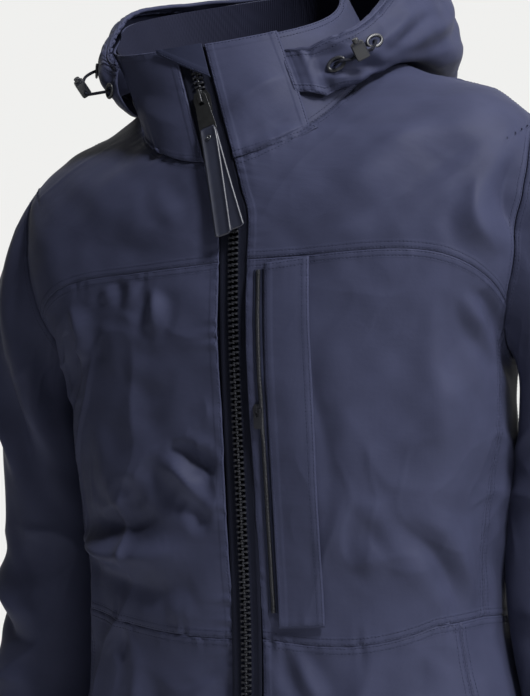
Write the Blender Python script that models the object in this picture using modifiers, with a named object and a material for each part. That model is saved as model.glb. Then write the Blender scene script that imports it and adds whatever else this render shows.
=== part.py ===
"""Foul weather jacket: an offshore sailing jacket as it hangs when worn, zipped up, hood laid back.

Metres, +Z up. The front faces -Y and the wearer's left is +X. The origin is the middle of the neck
at the height of the shoulder line. Every fabric piece is a panel on one of four lofted surfaces
(body, sleeve, collar, hood), given a thickness with Solidify; the hardware is placed on them.
"""
import math

import bmesh
import bpy
import numpy as np
from mathutils import Matrix, Vector

# ---------------------------------------------------------------- driving dimensions
CLOTH = 0.0020            # laminated shell fabric with its seam tape
LINING_DEPTH = 0.0100     # lining behind the shell's outer face
LINING_CLOTH = 0.0010
ZIP_OPENING = 0.0135      # half width of the front opening that the zip fills
CHAIN_HALF = 0.0050       # half width of the closed chain of teeth
CHAIN_THICK = 0.0048
TAPE_THICK = 0.0012
CORD_DIAMETER = 0.0030
COLLAR_EDGE = {-1: 50.0, 1: 42.0}  # degrees from the zip to a collar panel's end, by side
HOOD_FRONT = {-1: 56.0, 1: 38.5}   # degrees from the centre front to the hood's front ends
HOOD_CENTRE = 38.0        # half angle of the hood's middle panel, about the centre back
ARM_OUTLINE = (5.20, 1.15, 21.0)   # armhole: middle level, half height in levels, half angle
ZIP_TOP = (-0.050, -0.098, 0.038)  # the zip leans to the wearer's right at the throat
ZIP_BEND = (0.000, -0.134, -0.115) # from here down it runs straight down the middle


def throat(height):
    """Sideways shift and depth of the straight upper stretch of the zip."""
    share = (height - ZIP_BEND[2]) / (ZIP_TOP[2] - ZIP_BEND[2])
    return [ZIP_BEND[i] + share * (ZIP_TOP[i] - ZIP_BEND[i]) for i in (0, 1)]


def throat_ring(side, front, back, half, back_y, square, slope, dip=1.6):
    shift, front_y = throat(front)
    return (side, front, back, half, front_y, back_y, square, shift, slope, dip)


# Body rings, hem to neck seam: height at side, front and back, half width, front and back depth,
# squareness, sideways shift, shoulder slope (height gained per metre towards the wearer's left) and
# how quickly the height changes from front to side.
BODY_RINGS = (
    (-0.745, -0.745, -0.760, 0.238, -0.150, 0.132, 2.4, 0.000, 0.00, 1.6),
    (-0.615, -0.620, -0.620, 0.226, -0.147, 0.120, 2.3, 0.000, 0.00, 1.6),
    (-0.490, -0.497, -0.490, 0.203, -0.137, 0.104, 2.2, 0.000, 0.00, 1.6),
    (-0.380, -0.385, -0.375, 0.215, -0.138, 0.116, 2.4, 0.000, 0.00, 1.6),
    (-0.255, -0.262, -0.245, 0.225, -0.142, 0.124, 2.4, 0.000, 0.00, 1.6),
    (-0.165, -0.200, -0.165, 0.258, -0.141, 0.127, 2.4, 0.000, 0.02, 1.6),
    (-0.066, -0.155, -0.092, 0.264, -0.137, 0.125, 2.4, 0.000, 0.04, 1.6),
    throat_ring(-0.020, -0.115, -0.040, 0.226, 0.118, 2.3, 0.055),
    throat_ring(0.004, -0.090, -0.002, 0.166, 0.104, 2.1, 0.055),
    throat_ring(0.032, -0.062, 0.036, 0.116, 0.086, 2.0, 0.050, 1.1),
)
# Collar rings in the same columns: its lower edge is the neck seam.
COLLAR_RINGS = (
    BODY_RINGS[-1],
    throat_ring(0.062, -0.006, 0.080, 0.117, 0.088, 2.0, 0.05, 1.0),
    throat_ring(0.092, 0.050, 0.122, 0.116, 0.092, 2.0, 0.05, 0.6),
)
# Hood laid back: for each angle from the centre front, (distance from the neck's axis, height) at
# the neck seam, underside, outer bulge, top of the roll and face opening.
HOOD_AXIS = (-0.018, -0.030)       # sideways place of the axis, at the neck seam and the opening
HOOD_ROWS = {
    50.0: ((0.124, -0.014), (0.129, 0.000), (0.132, 0.014), (0.132, 0.030), (0.129, 0.040)),
    68.0: ((0.127, 0.014), (0.140, 0.012), (0.150, 0.032), (0.146, 0.052), (0.138, 0.060)),
    90.0: ((0.128, 0.040), (0.154, 0.028), (0.168, 0.056), (0.160, 0.088), (0.142, 0.098)),
    112.0: ((0.123, 0.046), (0.178, 0.020), (0.195, 0.054), (0.184, 0.112), (0.154, 0.126)),
    140.0: ((0.110, 0.048), (0.176, -0.012), (0.206, 0.026), (0.192, 0.114), (0.152, 0.136)),
    180.0: ((0.098, 0.048), (0.168, -0.116), (0.212, -0.060), (0.190, 0.100), (0.144, 0.138)),
}
# Drawing in of the hood's left end behind the collar: angle where it stops, degrees over which it
# fades, depth at the seam, what the depth gains above it, and how far the lower edge rises.
TUCK = (66.0, 30.0, 0.007, 0.018, 0.012)
# Arm stations below the armhole: centre offset outwards, backwards and height, radius across and
# front to back, for the wearer's left arm.
ARM_STATIONS = (
    (0.2725, 0.036, -0.330, 0.0540, 0.066),
    (0.2715, 0.036, -0.430, 0.0555, 0.063),
    (0.2730, 0.020, -0.530, 0.0560, 0.060),
    (0.2850, 0.004, -0.625, 0.0510, 0.055),
    (0.2950, -0.010, -0.690, 0.0470, 0.051),
)
CUFF_STATION = 4.25       # where the sleeve ends and the cuff begins
LAST_STATION = 5.0

SIDE_SEAM = 77.0          # degrees from the centre front, above the waist
SKIRT_SEAM = 62.0         # degrees from the centre front, below the waist
WAIST_LEVEL = 2.0
HEM_LEVEL, NECK_LEVEL = 0.0, 9.0

GAP_ANGLE = 0.22          # degrees that keep a vertical seam's two panels apart
GAP_LEVEL = 0.010         # the same in levels, for a seam that runs round the body
RIM_LEVEL = 3.66          # where the hood's panels end and its rim begins
RIM_GAP = 0.07            # levels that keep the coarse facets of the two apart

SLIDER_LEVEL = 9.50       # main slider's place on the front line
PULL_AXIS = (0.0, -0.0072, 0.0070)   # pull tab's pivot in the slider's frame
TAB_LENGTH = 0.042
PULLER_DROP = 0.0385      # from the tab's pivot to the puller's
PULLER_SIZE = (0.0180, 0.0050, 0.104)
POCKET_PULL_AXIS = (0.0, -0.0022, 0.0020)
PULL_BAR = 0.0011         # bar of a pocket pull that turns in its slider's eye
CHEST_PULL_LENGTH, HAND_PULL_LENGTH = 0.018, 0.034
CHEST_SLIDER_LEVEL = 3.72
FLAP_LEVELS, FLAP_REACH = (2.08, 5.86), (0.0315, 0.0735)
EYELETS = {               # by side: angle from the centre front and level on the hood
    -1: {"front": (61.0, 2.05), "back": (79.0, 2.30)},
    1: {"front": (55.0, 2.00), "back": (68.0, 2.35)},
}
LOCK_SIZE = (0.0130, 0.0100, 0.0170)   # across, thick, along the plunger
LOCK_BORE, PLUNGER = 0.0033, 0.0030
CORD_HOLE_HEIGHT = -0.0035
BUTTON_HEIGHT = 0.0092
TAB_TURN = -60            # where round the forearm the cuff tab is sewn down

NAVY = (0.026, 0.031, 0.062, 1.0)
NAVY_DEEP = (0.014, 0.017, 0.036, 1.0)
BLACK = (0.012, 0.012, 0.014, 1.0)
GUNMETAL = (0.16, 0.16, 0.17, 1.0)


# ---------------------------------------------------------------- scene helpers
def start_scene():
    for old in list(bpy.data.objects):
        bpy.data.objects.remove(old, do_unlink=True)
    parts = bpy.data.collections.new("foul_weather_jacket")
    cutters = bpy.data.collections.new("cutters")
    for collection in (parts, cutters):
        bpy.context.scene.collection.children.link(collection)
    return parts, cutters


PARTS, CUTTERS = start_scene()


def material(name, colour, roughness=0.6, metallic=0.0):
    made = bpy.data.materials.new(name)
    made.use_nodes = True
    shader = made.node_tree.nodes["Principled BSDF"]
    shader.inputs["Base Color"].default_value = colour
    shader.inputs["Roughness"].default_value = roughness
    shader.inputs["Metallic"].default_value = metallic
    return made


def add_object(name, mesh, colour, roughness=0.6, metallic=0.0):
    mesh.materials.clear()
    mesh.materials.append(material(name, colour, roughness, metallic))
    made = bpy.data.objects.new(name, mesh)
    PARTS.objects.link(made)
    return made


def frame_matrix(origin, across, along):
    """World matrix with local X across, local Z along and local Y their square direction."""
    x = Vector(across).normalized()
    z = Vector(along)
    z = (z - x * z.dot(x)).normalized()
    y = z.cross(x)
    rotation = Matrix((x, y, z)).transposed().to_4x4()
    return Matrix.Translation(Vector(origin)) @ rotation


def box_mesh(name, size, bevel=0.0, centre=(0, 0, 0)):
    built = bmesh.new()
    bmesh.ops.create_cube(built, size=1.0)
    bmesh.ops.scale(built, vec=Vector(size), verts=built.verts)
    bmesh.ops.translate(built, vec=Vector(centre), verts=built.verts)
    if bevel:
        bmesh.ops.bevel(built, geom=list(built.edges), offset=bevel, segments=2, profile=0.5,
                        affect="EDGES")
    mesh = bpy.data.meshes.new(name)
    built.to_mesh(mesh)
    built.free()
    return mesh


def round_mesh(name, radius, depth, centre=(0, 0, 0), axis="Z", segments=20, bevel=0.0):
    built = bmesh.new()
    bmesh.ops.create_cone(built, cap_ends=True, segments=segments, radius1=radius,
                          radius2=radius, depth=depth)
    if bevel:
        rims = [edge for edge in built.edges if abs(edge.verts[0].co.z - edge.verts[1].co.z) < 1e-9]
        bmesh.ops.bevel(built, geom=rims, offset=bevel, segments=2, profile=0.5, affect="EDGES")
    turn = {"Z": Matrix(), "X": Matrix.Rotation(math.pi / 2, 4, "Y"),
            "Y": Matrix.Rotation(math.pi / 2, 4, "X")}[axis]
    bmesh.ops.transform(built, matrix=Matrix.Translation(centre) @ turn, verts=built.verts)
    mesh = bpy.data.meshes.new(name)
    built.to_mesh(mesh)
    built.free()
    return mesh


def plate_mesh(name, outline, thickness, holes=()):
    """Flat plate from outlines in local X and Z, as thick along Y, made by a filled 2D curve."""
    curve = bpy.data.curves.new(name + "_outline", "CURVE")
    curve.dimensions = "2D"
    curve.fill_mode = "BOTH"
    curve.extrude = thickness / 2
    for loop in (outline,) + tuple(holes):
        spline = curve.splines.new("POLY")
        spline.points.add(len(loop) - 1)
        for point, (x, z) in zip(spline.points, loop):
            point.co = (x, z, 0.0, 1.0)
        spline.use_cyclic_u = True
    guide = bpy.data.objects.new(name + "_outline", curve)
    CUTTERS.objects.link(guide)
    guide.matrix_world = Matrix.Rotation(math.pi / 2, 4, "X")
    bpy.context.view_layer.update()
    mesh = mesh_from(guide)
    return mesh


def mesh_from(guide):
    """Welded mesh of a curve object, in world space; the curve is removed."""
    evaluated = guide.evaluated_get(bpy.context.evaluated_depsgraph_get())
    mesh = bpy.data.meshes.new_from_object(evaluated)
    built = bmesh.new()
    built.from_mesh(mesh)
    bmesh.ops.transform(built, matrix=guide.matrix_world, verts=built.verts)
    bmesh.ops.remove_doubles(built, verts=built.verts, dist=0.00001)
    bmesh.ops.recalc_face_normals(built, faces=built.faces)
    built.to_mesh(mesh)
    built.free()
    bpy.data.objects.remove(guide, do_unlink=True)
    return mesh


def combine(target, mesh, operation):
    """Boolean of a mesh given in the target's local space."""
    cutter = bpy.data.objects.new(target.name + "_" + operation.lower(), mesh)
    CUTTERS.objects.link(cutter)
    cutter.parent = target
    cutter.hide_render = True
    cutter.display_type = "WIRE"
    modifier = target.modifiers.new(operation.lower(), "BOOLEAN")
    modifier.object = cutter
    modifier.operation = operation
    modifier.solver = "EXACT"


def rounded_outline(width, height, radius, steps=4, centre=(0.0, 0.0)):
    """Rectangle with round corners as a list of (x, z)."""
    corners = ((1, 1, 0), (-1, 1, 90), (-1, -1, 180), (1, -1, 270))
    points = []
    for sx, sz, start in corners:
        for step in range(steps + 1):
            angle = math.radians(start + 90 * step / steps)
            points.append((centre[0] + sx * (width / 2 - radius) + radius * math.cos(angle),
                           centre[1] + sz * (height / 2 - radius) + radius * math.sin(angle)))
    return points


# ---------------------------------------------------------------- lofted surfaces
def interpolate(rows, level):
    """Smooth curve through the rows at a fractional row number."""
    table = np.asarray(rows, float)
    level = min(max(level, 0.0), len(table) - 1.0)
    i = min(int(level), len(table) - 2)
    f = level - i
    slopes = np.gradient(table, axis=0)
    return ((2 * f**3 - 3 * f**2 + 1) * table[i] + (f**3 - 2 * f**2 + f) * slopes[i]
            + (3 * f**2 - 2 * f**3) * table[i + 1] + (f**3 - f**2) * slopes[i + 1])


def ring_point(row, degrees):
    side, front, back, half, front_y, back_y, square, shift, slope, dip = row
    s, c = math.sin(math.radians(degrees)), math.cos(math.radians(degrees))
    x = math.copysign(half * abs(s) ** (2 / square), s)
    reach = abs(c) ** (2 / square)
    blend = abs(c) ** dip
    y = (front_y if c > 0 else back_y) * reach
    z = side + ((front if c > 0 else back) - side) * blend
    return Vector((x + shift, y, z + slope * x))


def body(level, degrees):
    return ring_point(interpolate(BODY_RINGS, level), degrees)


def collar(level, degrees):
    return ring_point(interpolate(COLLAR_RINGS, 2 * level), degrees)


def ease(share):
    share = min(max(share, 0.0), 1.0)
    return share * share * (3 - 2 * share)


def hood(level, degrees):
    """Level runs from 0 at the neck seam to 4 at the face opening."""
    angles = sorted(HOOD_ROWS)
    turned = (degrees + 180) % 360 - 180
    place = np.interp(abs(turned), angles, range(len(angles)))
    row = interpolate([np.ravel(HOOD_ROWS[a]) for a in angles], float(place)).reshape(-1, 2)
    reach, height = interpolate(row, level)
    if turned > 0:
        end, blend, low, more, raised = TUCK
        share = ease((end - turned) / blend)
        reach -= share * (low + more * min(level / 3, 1.0))
        height += share * raised * (1 - level / 4)
    s, c = math.sin(math.radians(turned)), math.cos(math.radians(turned))
    axis = HOOD_AXIS[0] + (HOOD_AXIS[1] - HOOD_AXIS[0]) * level / 4
    return Vector((axis + reach * s, -reach * c, height + 0.04 * reach * s))


def armhole(turn, side, lift=0.0):
    """Armhole seam: turn 0 at the shoulder tip, 90 at the front, 180 at the armpit."""
    middle, half, angle = ARM_OUTLINE
    level = middle + (half - lift) * math.cos(math.radians(turn))
    degrees = 90 - angle * math.sin(math.radians(turn))
    return body(level, side * degrees)


def sleeve(station, turn, side):
    """Station 0 is the armhole, 1 to 5 are the arm stations."""
    s, c = math.sin(math.radians(turn)), math.cos(math.radians(turn))

    def ring(index):
        out, back, height, across, deep = ARM_STATIONS[index]
        lean = 0.55 if index == 0 else 0.12
        return Vector((side * (out + across * c), back - deep * s, height + lean * across * c))

    start = armhole(turn, side, 0.006) + Vector((side * 0.0016, 0, 0))
    if station >= 1:
        rows = [tuple(ring(i)) for i in range(len(ARM_STATIONS))]
        return Vector(interpolate(rows, station - 1))
    first = ring(0)
    away = Vector((side * (0.10 + 0.06 * c), 0.0, -0.10 - 0.05 * c))
    down = (ring(1) - first) * 1.25
    f = station
    return ((2 * f**3 - 3 * f**2 + 1) * start + (f**3 - 2 * f**2 + f) * away
            + (3 * f**2 - 2 * f**3) * first + (f**3 - f**2) * down)


def surface_frame(surface, level, degrees, step=0.02):
    """Point on a surface with its unit directions across, up and outwards."""
    point = surface(level, degrees)
    up = (surface(level + step, degrees) - surface(level - step, degrees)).normalized()
    across = surface(level, degrees + 1) - surface(level, degrees - 1)
    across = (across - up * across.dot(up)).normalized()
    return point, across, up, across.cross(up)


# ---------------------------------------------------------------- panels
def panel(name, rows, thickness=CLOTH, colour=NAVY, inset=0.0, closed=False, smooth=True):
    """Sheet through a grid of points, thickened inwards from its outer face."""
    tall, wide = len(rows), len(rows[0])
    vertices = [tuple(point) for row in rows for point in row]
    faces = []
    for i in range(tall - 1):
        for j in range(wide if closed else wide - 1):
            k = (j + 1) % wide
            faces.append((i * wide + j, i * wide + k, (i + 1) * wide + k, (i + 1) * wide + j))
    mesh = bpy.data.meshes.new(name)
    mesh.from_pydata(vertices, [], faces)
    mesh.update()
    if smooth:
        mesh.shade_smooth()
    made = add_object(name, mesh, colour)
    if inset:
        shift = np.array([vertex.normal for vertex in mesh.vertices])
        places = np.array([vertex.co for vertex in mesh.vertices]) - shift * inset
        mesh.vertices.foreach_set("co", places.ravel())
        mesh.update()
    solid = made.modifiers.new("thickness", "SOLIDIFY")
    solid.thickness = thickness
    solid.offset = -1.0
    return made


def move_origin(made, place):
    """Put an object's origin on its joint's axis, leaving the mesh where it is."""
    made.data.transform(Matrix.Translation(-Vector(place)))
    made.location = place


def grid(surface, bottom, top, left, right, tall, wide):
    """Rows of points; bottom and top are levels by share across, left and right angles by level."""
    rows = []
    for i in range(tall + 1):
        row = []
        for j in range(wide + 1):
            share = j / wide
            level = bottom(share) + (top(share) - bottom(share)) * i / tall
            degrees = left(level) + (right(level) - left(level)) * share
            row.append(surface(level, degrees))
        rows.append(row)
    return rows


def mirrored(rows):
    """The same panel on the wearer's other side, keeping the outside outwards."""
    return [list(reversed(row)) for row in rows]


def edge_angle(row, half):
    """Angle from the centre front at which a ring is this far to the side."""
    return math.degrees(math.asin((half / row[3]) ** (row[6] / 2)))


def zip_edge(level, half=ZIP_OPENING):
    """The opening is cut wider at the throat, where the zip leans across the rings."""
    lean = 1 + 0.10 * min(max(level - 6.0, 0.0), 1.0)
    return edge_angle(interpolate(BODY_RINGS, level), half * lean)


def collar_edge(level):
    return edge_angle(interpolate(COLLAR_RINGS, 2 * level), ZIP_OPENING * 1.10)


def armhole_half(level):
    middle, half, angle = ARM_OUTLINE
    share = (level - middle) / half
    return angle * math.sqrt(max(0.0, 1 - share * share))


def armhole_level(degrees_off):
    middle, half, angle = ARM_OUTLINE
    return middle - half * math.sqrt(max(0.0, 1 - (degrees_off / angle) ** 2))


def front_edge(level):
    """Outer edge of the front panels above the waist: side seam, armhole, then the shoulder."""
    middle, half, angle = ARM_OUTLINE
    if level > middle + half:
        return 90 + 12 * (level - middle - half) / (NECK_LEVEL - middle - half) - GAP_ANGLE
    if level < middle:
        return min(SIDE_SEAM, 90 - armhole_half(level)) - GAP_ANGLE
    return 90 - armhole_half(level) - GAP_ANGLE


def back_edge(level):
    middle, half, angle = ARM_OUTLINE
    if level > middle + half:
        return 90 + 12 * (level - middle - half) / (NECK_LEVEL - middle - half) + GAP_ANGLE
    if level < middle:
        return max(180 - SIDE_SEAM, 90 + armhole_half(level)) + GAP_ANGLE
    return 90 + armhole_half(level) + GAP_ANGLE


def yoke_front_level(share):
    """The front yoke seam runs nearly level and drops to the armhole."""
    return 6.0 - 0.55 * share - 0.90 * share ** 2


def yoke_back_level(share):
    return 5.55 - 0.35 * (2 * share - 1) ** 2


def waist_level(degrees, side):
    """The waist seam climbs towards the wearer's right side and dips first on the left."""
    share = min(degrees / SIDE_SEAM, 1.0)
    if side < 0:
        rise = 0.26 * share ** 1.5
    else:
        rise = 0.04 * share - 0.09 * math.sin(math.pi * min(share * 1.5, 1.0))
    fade = (180 - SIDE_SEAM - degrees) / (180 - 2 * SIDE_SEAM)
    return WAIST_LEVEL + rise * min(max(fade, 0.0), 1.0)


def on_side(surface, side):
    return lambda level, degrees: surface(level, side * degrees)


def build_body():
    for side, word in ((-1, "right"), (1, "left")):
        skin = on_side(body, side)
        turn = mirrored if side < 0 else (lambda rows: rows)
        panel("yoke_front_" + word, turn(grid(
            skin, lambda s: yoke_front_level(s) + GAP_LEVEL, lambda s: NECK_LEVEL - GAP_LEVEL,
            zip_edge, front_edge, 9, 9)))
        panel("chest_panel_" + word, turn(grid(
            skin, lambda s: waist_level(s * SIDE_SEAM, side) + GAP_LEVEL,
            lambda s: yoke_front_level(s) - GAP_LEVEL, zip_edge, front_edge, 10, 9)))
        seam = SIDE_SEAM, 180 - SIDE_SEAM
        panel("side_panel_" + word, turn(grid(
            skin, lambda s: waist_level(seam[0] + (seam[1] - seam[0]) * s, side) + GAP_LEVEL,
            lambda s: armhole_level(abs(2 * s - 1) * (90 - SIDE_SEAM)) - 0.02,
            lambda v: seam[0] + GAP_ANGLE, lambda v: seam[1] - GAP_ANGLE, 6, 4)))
        panel("skirt_front_" + word, turn(grid(
            skin, lambda s: HEM_LEVEL, lambda s: waist_level(s * SKIRT_SEAM, side) - GAP_LEVEL,
            zip_edge, lambda v: SKIRT_SEAM - GAP_ANGLE, 6, 7)))
        ends = SKIRT_SEAM, 180 - SKIRT_SEAM
        panel("skirt_side_" + word, turn(grid(
            skin, lambda s: HEM_LEVEL,
            lambda s: waist_level(ends[0] + (ends[1] - ends[0]) * s, side) - GAP_LEVEL,
            lambda v: ends[0] + GAP_ANGLE, lambda v: ends[1] - GAP_ANGLE, 6, 8)))
    panel("yoke_back", grid(
        body, lambda s: yoke_back_level(s) + GAP_LEVEL, lambda s: NECK_LEVEL - GAP_LEVEL,
        back_edge, lambda v: 360 - back_edge(v), 8, 12))
    panel("back_panel", grid(
        body, lambda s: WAIST_LEVEL + GAP_LEVEL, lambda s: yoke_back_level(s) - GAP_LEVEL,
        back_edge, lambda v: 360 - back_edge(v), 9, 12))
    panel("skirt_back", grid(
        body, lambda s: HEM_LEVEL, lambda s: WAIST_LEVEL - GAP_LEVEL,
        lambda v: 180 - SKIRT_SEAM + GAP_ANGLE, lambda v: 180 + SKIRT_SEAM - GAP_ANGLE, 6, 9))


def build_lining():
    """Mesh lining of the body, hem to yoke, open at the zip."""
    edge = lambda level: zip_edge(level, 0.040)
    rows = grid(body, lambda s: 0.25, lambda s: 4.0, edge, lambda v: 360 - edge(v), 8, 26)
    panel("body_lining", rows, LINING_CLOTH, NAVY_DEEP, inset=LINING_DEPTH)


def build_sleeves():
    for side, word in ((-1, "right"), (1, "left")):
        arm = lambda station, turn: sleeve(station, turn, side)
        turns = [20 * i for i in range(18)]
        if side > 0:
            turns = turns[::-1]
        stations = [0.0, 0.2, 0.42, 0.66, 0.9, 1.25, 1.7, 2.2, 2.75, 3.3, 3.8, CUFF_STATION - 0.01]
        rows = [[arm(station, turn) for turn in turns] for station in reversed(stations)]
        move_origin(panel("sleeve_" + word, rows, closed=True), armhole(0, side))
        cuff = np.linspace(CUFF_STATION + 0.01, LAST_STATION, 4)
        rows = [[arm(station, turn) for turn in turns] for station in reversed(cuff)]
        move_origin(panel("cuff_" + word, rows, 0.0026, NAVY, closed=True), armhole(0, side))
        tab_turns = [TAB_TURN + 10 * i for i in range(12)]
        if side > 0:
            tab_turns = tab_turns[::-1]
        tab = [CUFF_STATION + 0.16 + 0.42 * i / 2 for i in range(3)]
        rows = [[arm(station, turn) for turn in tab_turns] for station in reversed(tab)]
        strap = panel("cuff_tab_" + word, rows, 0.0018, NAVY_DEEP, inset=-0.0034)
        move_origin(strap, arm(tab[1], TAB_TURN))


def build_collar():
    panel("collar_stand", grid(collar, lambda s: 0.05, lambda s: 1.0, collar_edge,
                               lambda v: 360 - collar_edge(v), 4, 28), 0.0024)
    for side, word in ((-1, "right"), (1, "left")):
        turn = mirrored if side < 0 else (lambda rows: rows)
        panel("collar_panel_" + word, turn(grid(
            on_side(collar, side), lambda s: 0.015, lambda s: 1.0, collar_edge,
            lambda v: COLLAR_EDGE[side], 4, 6)), 0.0022, inset=-0.0034)
    rows = grid(collar, lambda s: 0.97 - 0.27 * s, lambda s: 1.0,
                lambda v: -17.0, lambda v: 6.5, 3, 5)
    panel("chin_guard", rows, 0.0012, NAVY_DEEP, inset=-0.0058)


def build_hood():
    seam = 180 - HOOD_CENTRE
    for side, word in ((-1, "right"), (1, "left")):
        turn = mirrored if side < 0 else (lambda rows: rows)
        panel("hood_side_" + word, turn(grid(
            on_side(hood, side), lambda s: 0.04, lambda s: RIM_LEVEL - RIM_GAP,
            lambda v: HOOD_FRONT[side], lambda v: seam - GAP_ANGLE, 12, 14)))
    panel("hood_centre", grid(hood, lambda s: 0.04, lambda s: RIM_LEVEL - RIM_GAP,
                              lambda v: seam + GAP_ANGLE, lambda v: 360 - seam - GAP_ANGLE, 12, 8))
    panel("hood_rim", grid(hood, lambda s: RIM_LEVEL + RIM_GAP, lambda s: 4.0,
                           lambda v: HOOD_FRONT[1], lambda v: 360 - HOOD_FRONT[-1], 2, 40), 0.004)


def front_line(level):
    """Point of the zip's centre line: levels 0 to 9 on the body, 9 to 10 on the collar."""
    surface, at = (body, level) if level <= NECK_LEVEL else (collar, level - NECK_LEVEL)
    point = surface(at, 0.0)
    above, below = surface(at + 0.02, 0.0), surface(at - 0.02, 0.0)
    if level >= 10.0 or abs(level - NECK_LEVEL) < 1e-9:
        above, below = collar(0.9, 0.0), collar(0.5, 0.0)
    up = (above - below).normalized()
    across = Vector((1, 0, 0))
    across = (across - up * across.dot(up)).normalized()
    return point, across, up, across.cross(up)


def zip_strip(name, inner, outer, front, thickness, bottom, top, colour):
    body_levels = np.arange(bottom, NECK_LEVEL, 0.33)
    levels = np.concatenate([body_levels, np.arange(NECK_LEVEL, top, 0.2), [top]])
    rows = []
    for level in levels:
        point, across, up, out = front_line(float(level))
        low, high = sorted((inner, outer))
        rows.append([point + across * x + out * front for x in (low, high)])
    return panel(name, rows, thickness, colour, smooth=False)


def build_main_zip():
    for side, word in ((-1, "right"), (1, "left")):
        zip_strip("zip_tape_" + word, side * (CHAIN_HALF + 0.0003), side * (ZIP_OPENING - 0.0006),
                  -0.0004, TAPE_THICK, 0.10, 9.97, BLACK)
        zip_strip("zip_teeth_" + word, side * 0.0006, side * CHAIN_HALF, 0.0018, CHAIN_THICK,
                  0.26, 9.93, BLACK)
    rows = []
    for level in np.append(np.arange(0.2, NECK_LEVEL, 0.5), 8.9):
        point, across, up, out = front_line(float(level))
        rows.append([point + across * x - out * 0.0105 for x in (-0.030, 0.014)])
    panel("wind_flap", rows, 0.0016, NAVY_DEEP, smooth=False)
    point, across, up, out = front_line(0.12)
    box = add_object("zip_bottom_box", box_mesh("zip_bottom_box", (0.0098, 0.0056, 0.012), 0.0006),
                     BLACK, 0.4)
    box.matrix_world = frame_matrix(point - out * 0.0006, across, up)


def slider_outline(width, height):
    return [(-width * 0.36, height / 2), (width * 0.36, height / 2), (width / 2, height * 0.2),
            (width * 0.42, -height / 2), (-width * 0.42, -height / 2), (-width / 2, height * 0.2)]


def build_slider():
    point, across, up, out = front_line(SLIDER_LEVEL)
    frame = frame_matrix(point, across, up)
    front_plate = plate_mesh("zip_slider", slider_outline(0.017, 0.023), 0.0018)
    front_plate.transform(Matrix.Translation((0, -0.0033, 0)))
    slider = add_object("zip_slider", front_plate, GUNMETAL, 0.35, 1.0)
    back = plate_mesh("back", slider_outline(0.016, 0.022), 0.0016)
    back.transform(Matrix.Translation((0, 0.0046, 0)))
    combine(slider, back, "UNION")
    combine(slider, box_mesh("rib", (0.0005, 0.0085, 0.008), centre=(0, 0.0006, 0.0045)), "UNION")
    arch = box_mesh("arch", (0.0032, 0.0066, 0.0135), 0.0008, (0, -0.0072, 0.0050))
    combine(slider, arch, "UNION")
    combine(slider, box_mesh("eye", (0.01, 0.0036, 0.0085), centre=(0, -0.0068, 0.0050)),
            "DIFFERENCE")
    slider.matrix_world = frame

    pivot = frame @ Matrix.Translation(PULL_AXIS)
    slot = rounded_outline(0.0050, 0.0105, 0.0010, 2, (0, -0.0063))
    strap_slot = rounded_outline(0.0120, 0.0042, 0.0008, 2, (0, -PULLER_DROP + 0.0030))
    outline = [(-0.0044, 0.0010), (0.0044, 0.0010), (0.0060, -0.0020), (0.0084, -0.034),
               (0.0084, -TAB_LENGTH + 0.0046), (0.0070, -PULLER_DROP - 0.0009),
               (-0.0070, -PULLER_DROP - 0.0009), (-0.0084, -TAB_LENGTH + 0.0046), (-0.0084, -0.034),
               (-0.0060, -0.0020)]
    tab_mesh = plate_mesh("zip_pull_tab", outline[::-1], 0.0016, (slot, strap_slot))
    tab = add_object("zip_pull_tab", tab_mesh, GUNMETAL, 0.3, 1.0)
    tab.matrix_world = pivot

    puller_pivot = pivot @ Matrix.Translation((0, 0, -PULLER_DROP))
    puller_mesh = box_mesh("zip_puller", PULLER_SIZE, 0.0008, (0, 0, -0.0555))
    puller = add_object("zip_puller", puller_mesh, BLACK, 0.7)
    for y in (-0.0019, 0.0019):
        combine(puller, box_mesh("cheek", (0.0110, 0.0009, 0.0075), centre=(0, y, -0.0008)), "UNION")
    combine(puller, box_mesh("bridge", (0.0110, 0.0047, 0.0010), centre=(0, 0, 0.0025)), "UNION")
    puller.matrix_world = puller_pivot


def build_chest_pocket():
    """Storm flap over an upright pocket zip on the wearer's left."""
    def at(level, x, lift):
        row = interpolate(BODY_RINGS, level)
        degrees = zip_edge(level, x)
        point, across, up, out = surface_frame(body, level, degrees)
        return point + out * lift

    rows = [[at(v, x, 0.0042) for x in np.linspace(*FLAP_REACH, 5)]
            for v in np.linspace(*FLAP_LEVELS, 9)]
    flap = panel("chest_pocket_flap", rows, 0.0020, NAVY)
    move_origin(flap, rows[0][-1])
    rows = [[at(v, x, 0.0024) for x in (0.0185, 0.0265)] for v in np.linspace(2.2, 5.75, 12)]
    panel("chest_pocket_zip", rows, 0.0016, BLACK, smooth=False)
    rows = [[at(v, x, -0.0042) for x in (0.024, 0.055, 0.085, 0.115)] for v in np.linspace(2.3, 5.2, 6)]
    panel("chest_pocket_bag", rows, 0.0018, NAVY_DEEP)
    along = at(5.6, 0.0225, 0) - at(2.3, 0.0225, 0)
    pocket_slider("chest_pocket_slider", "chest_pocket_pull",
                  frame_matrix(at(CHEST_SLIDER_LEVEL, 0.0225, 0.0052), (1, 0, 0), along),
                  CHEST_PULL_LENGTH)


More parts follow.
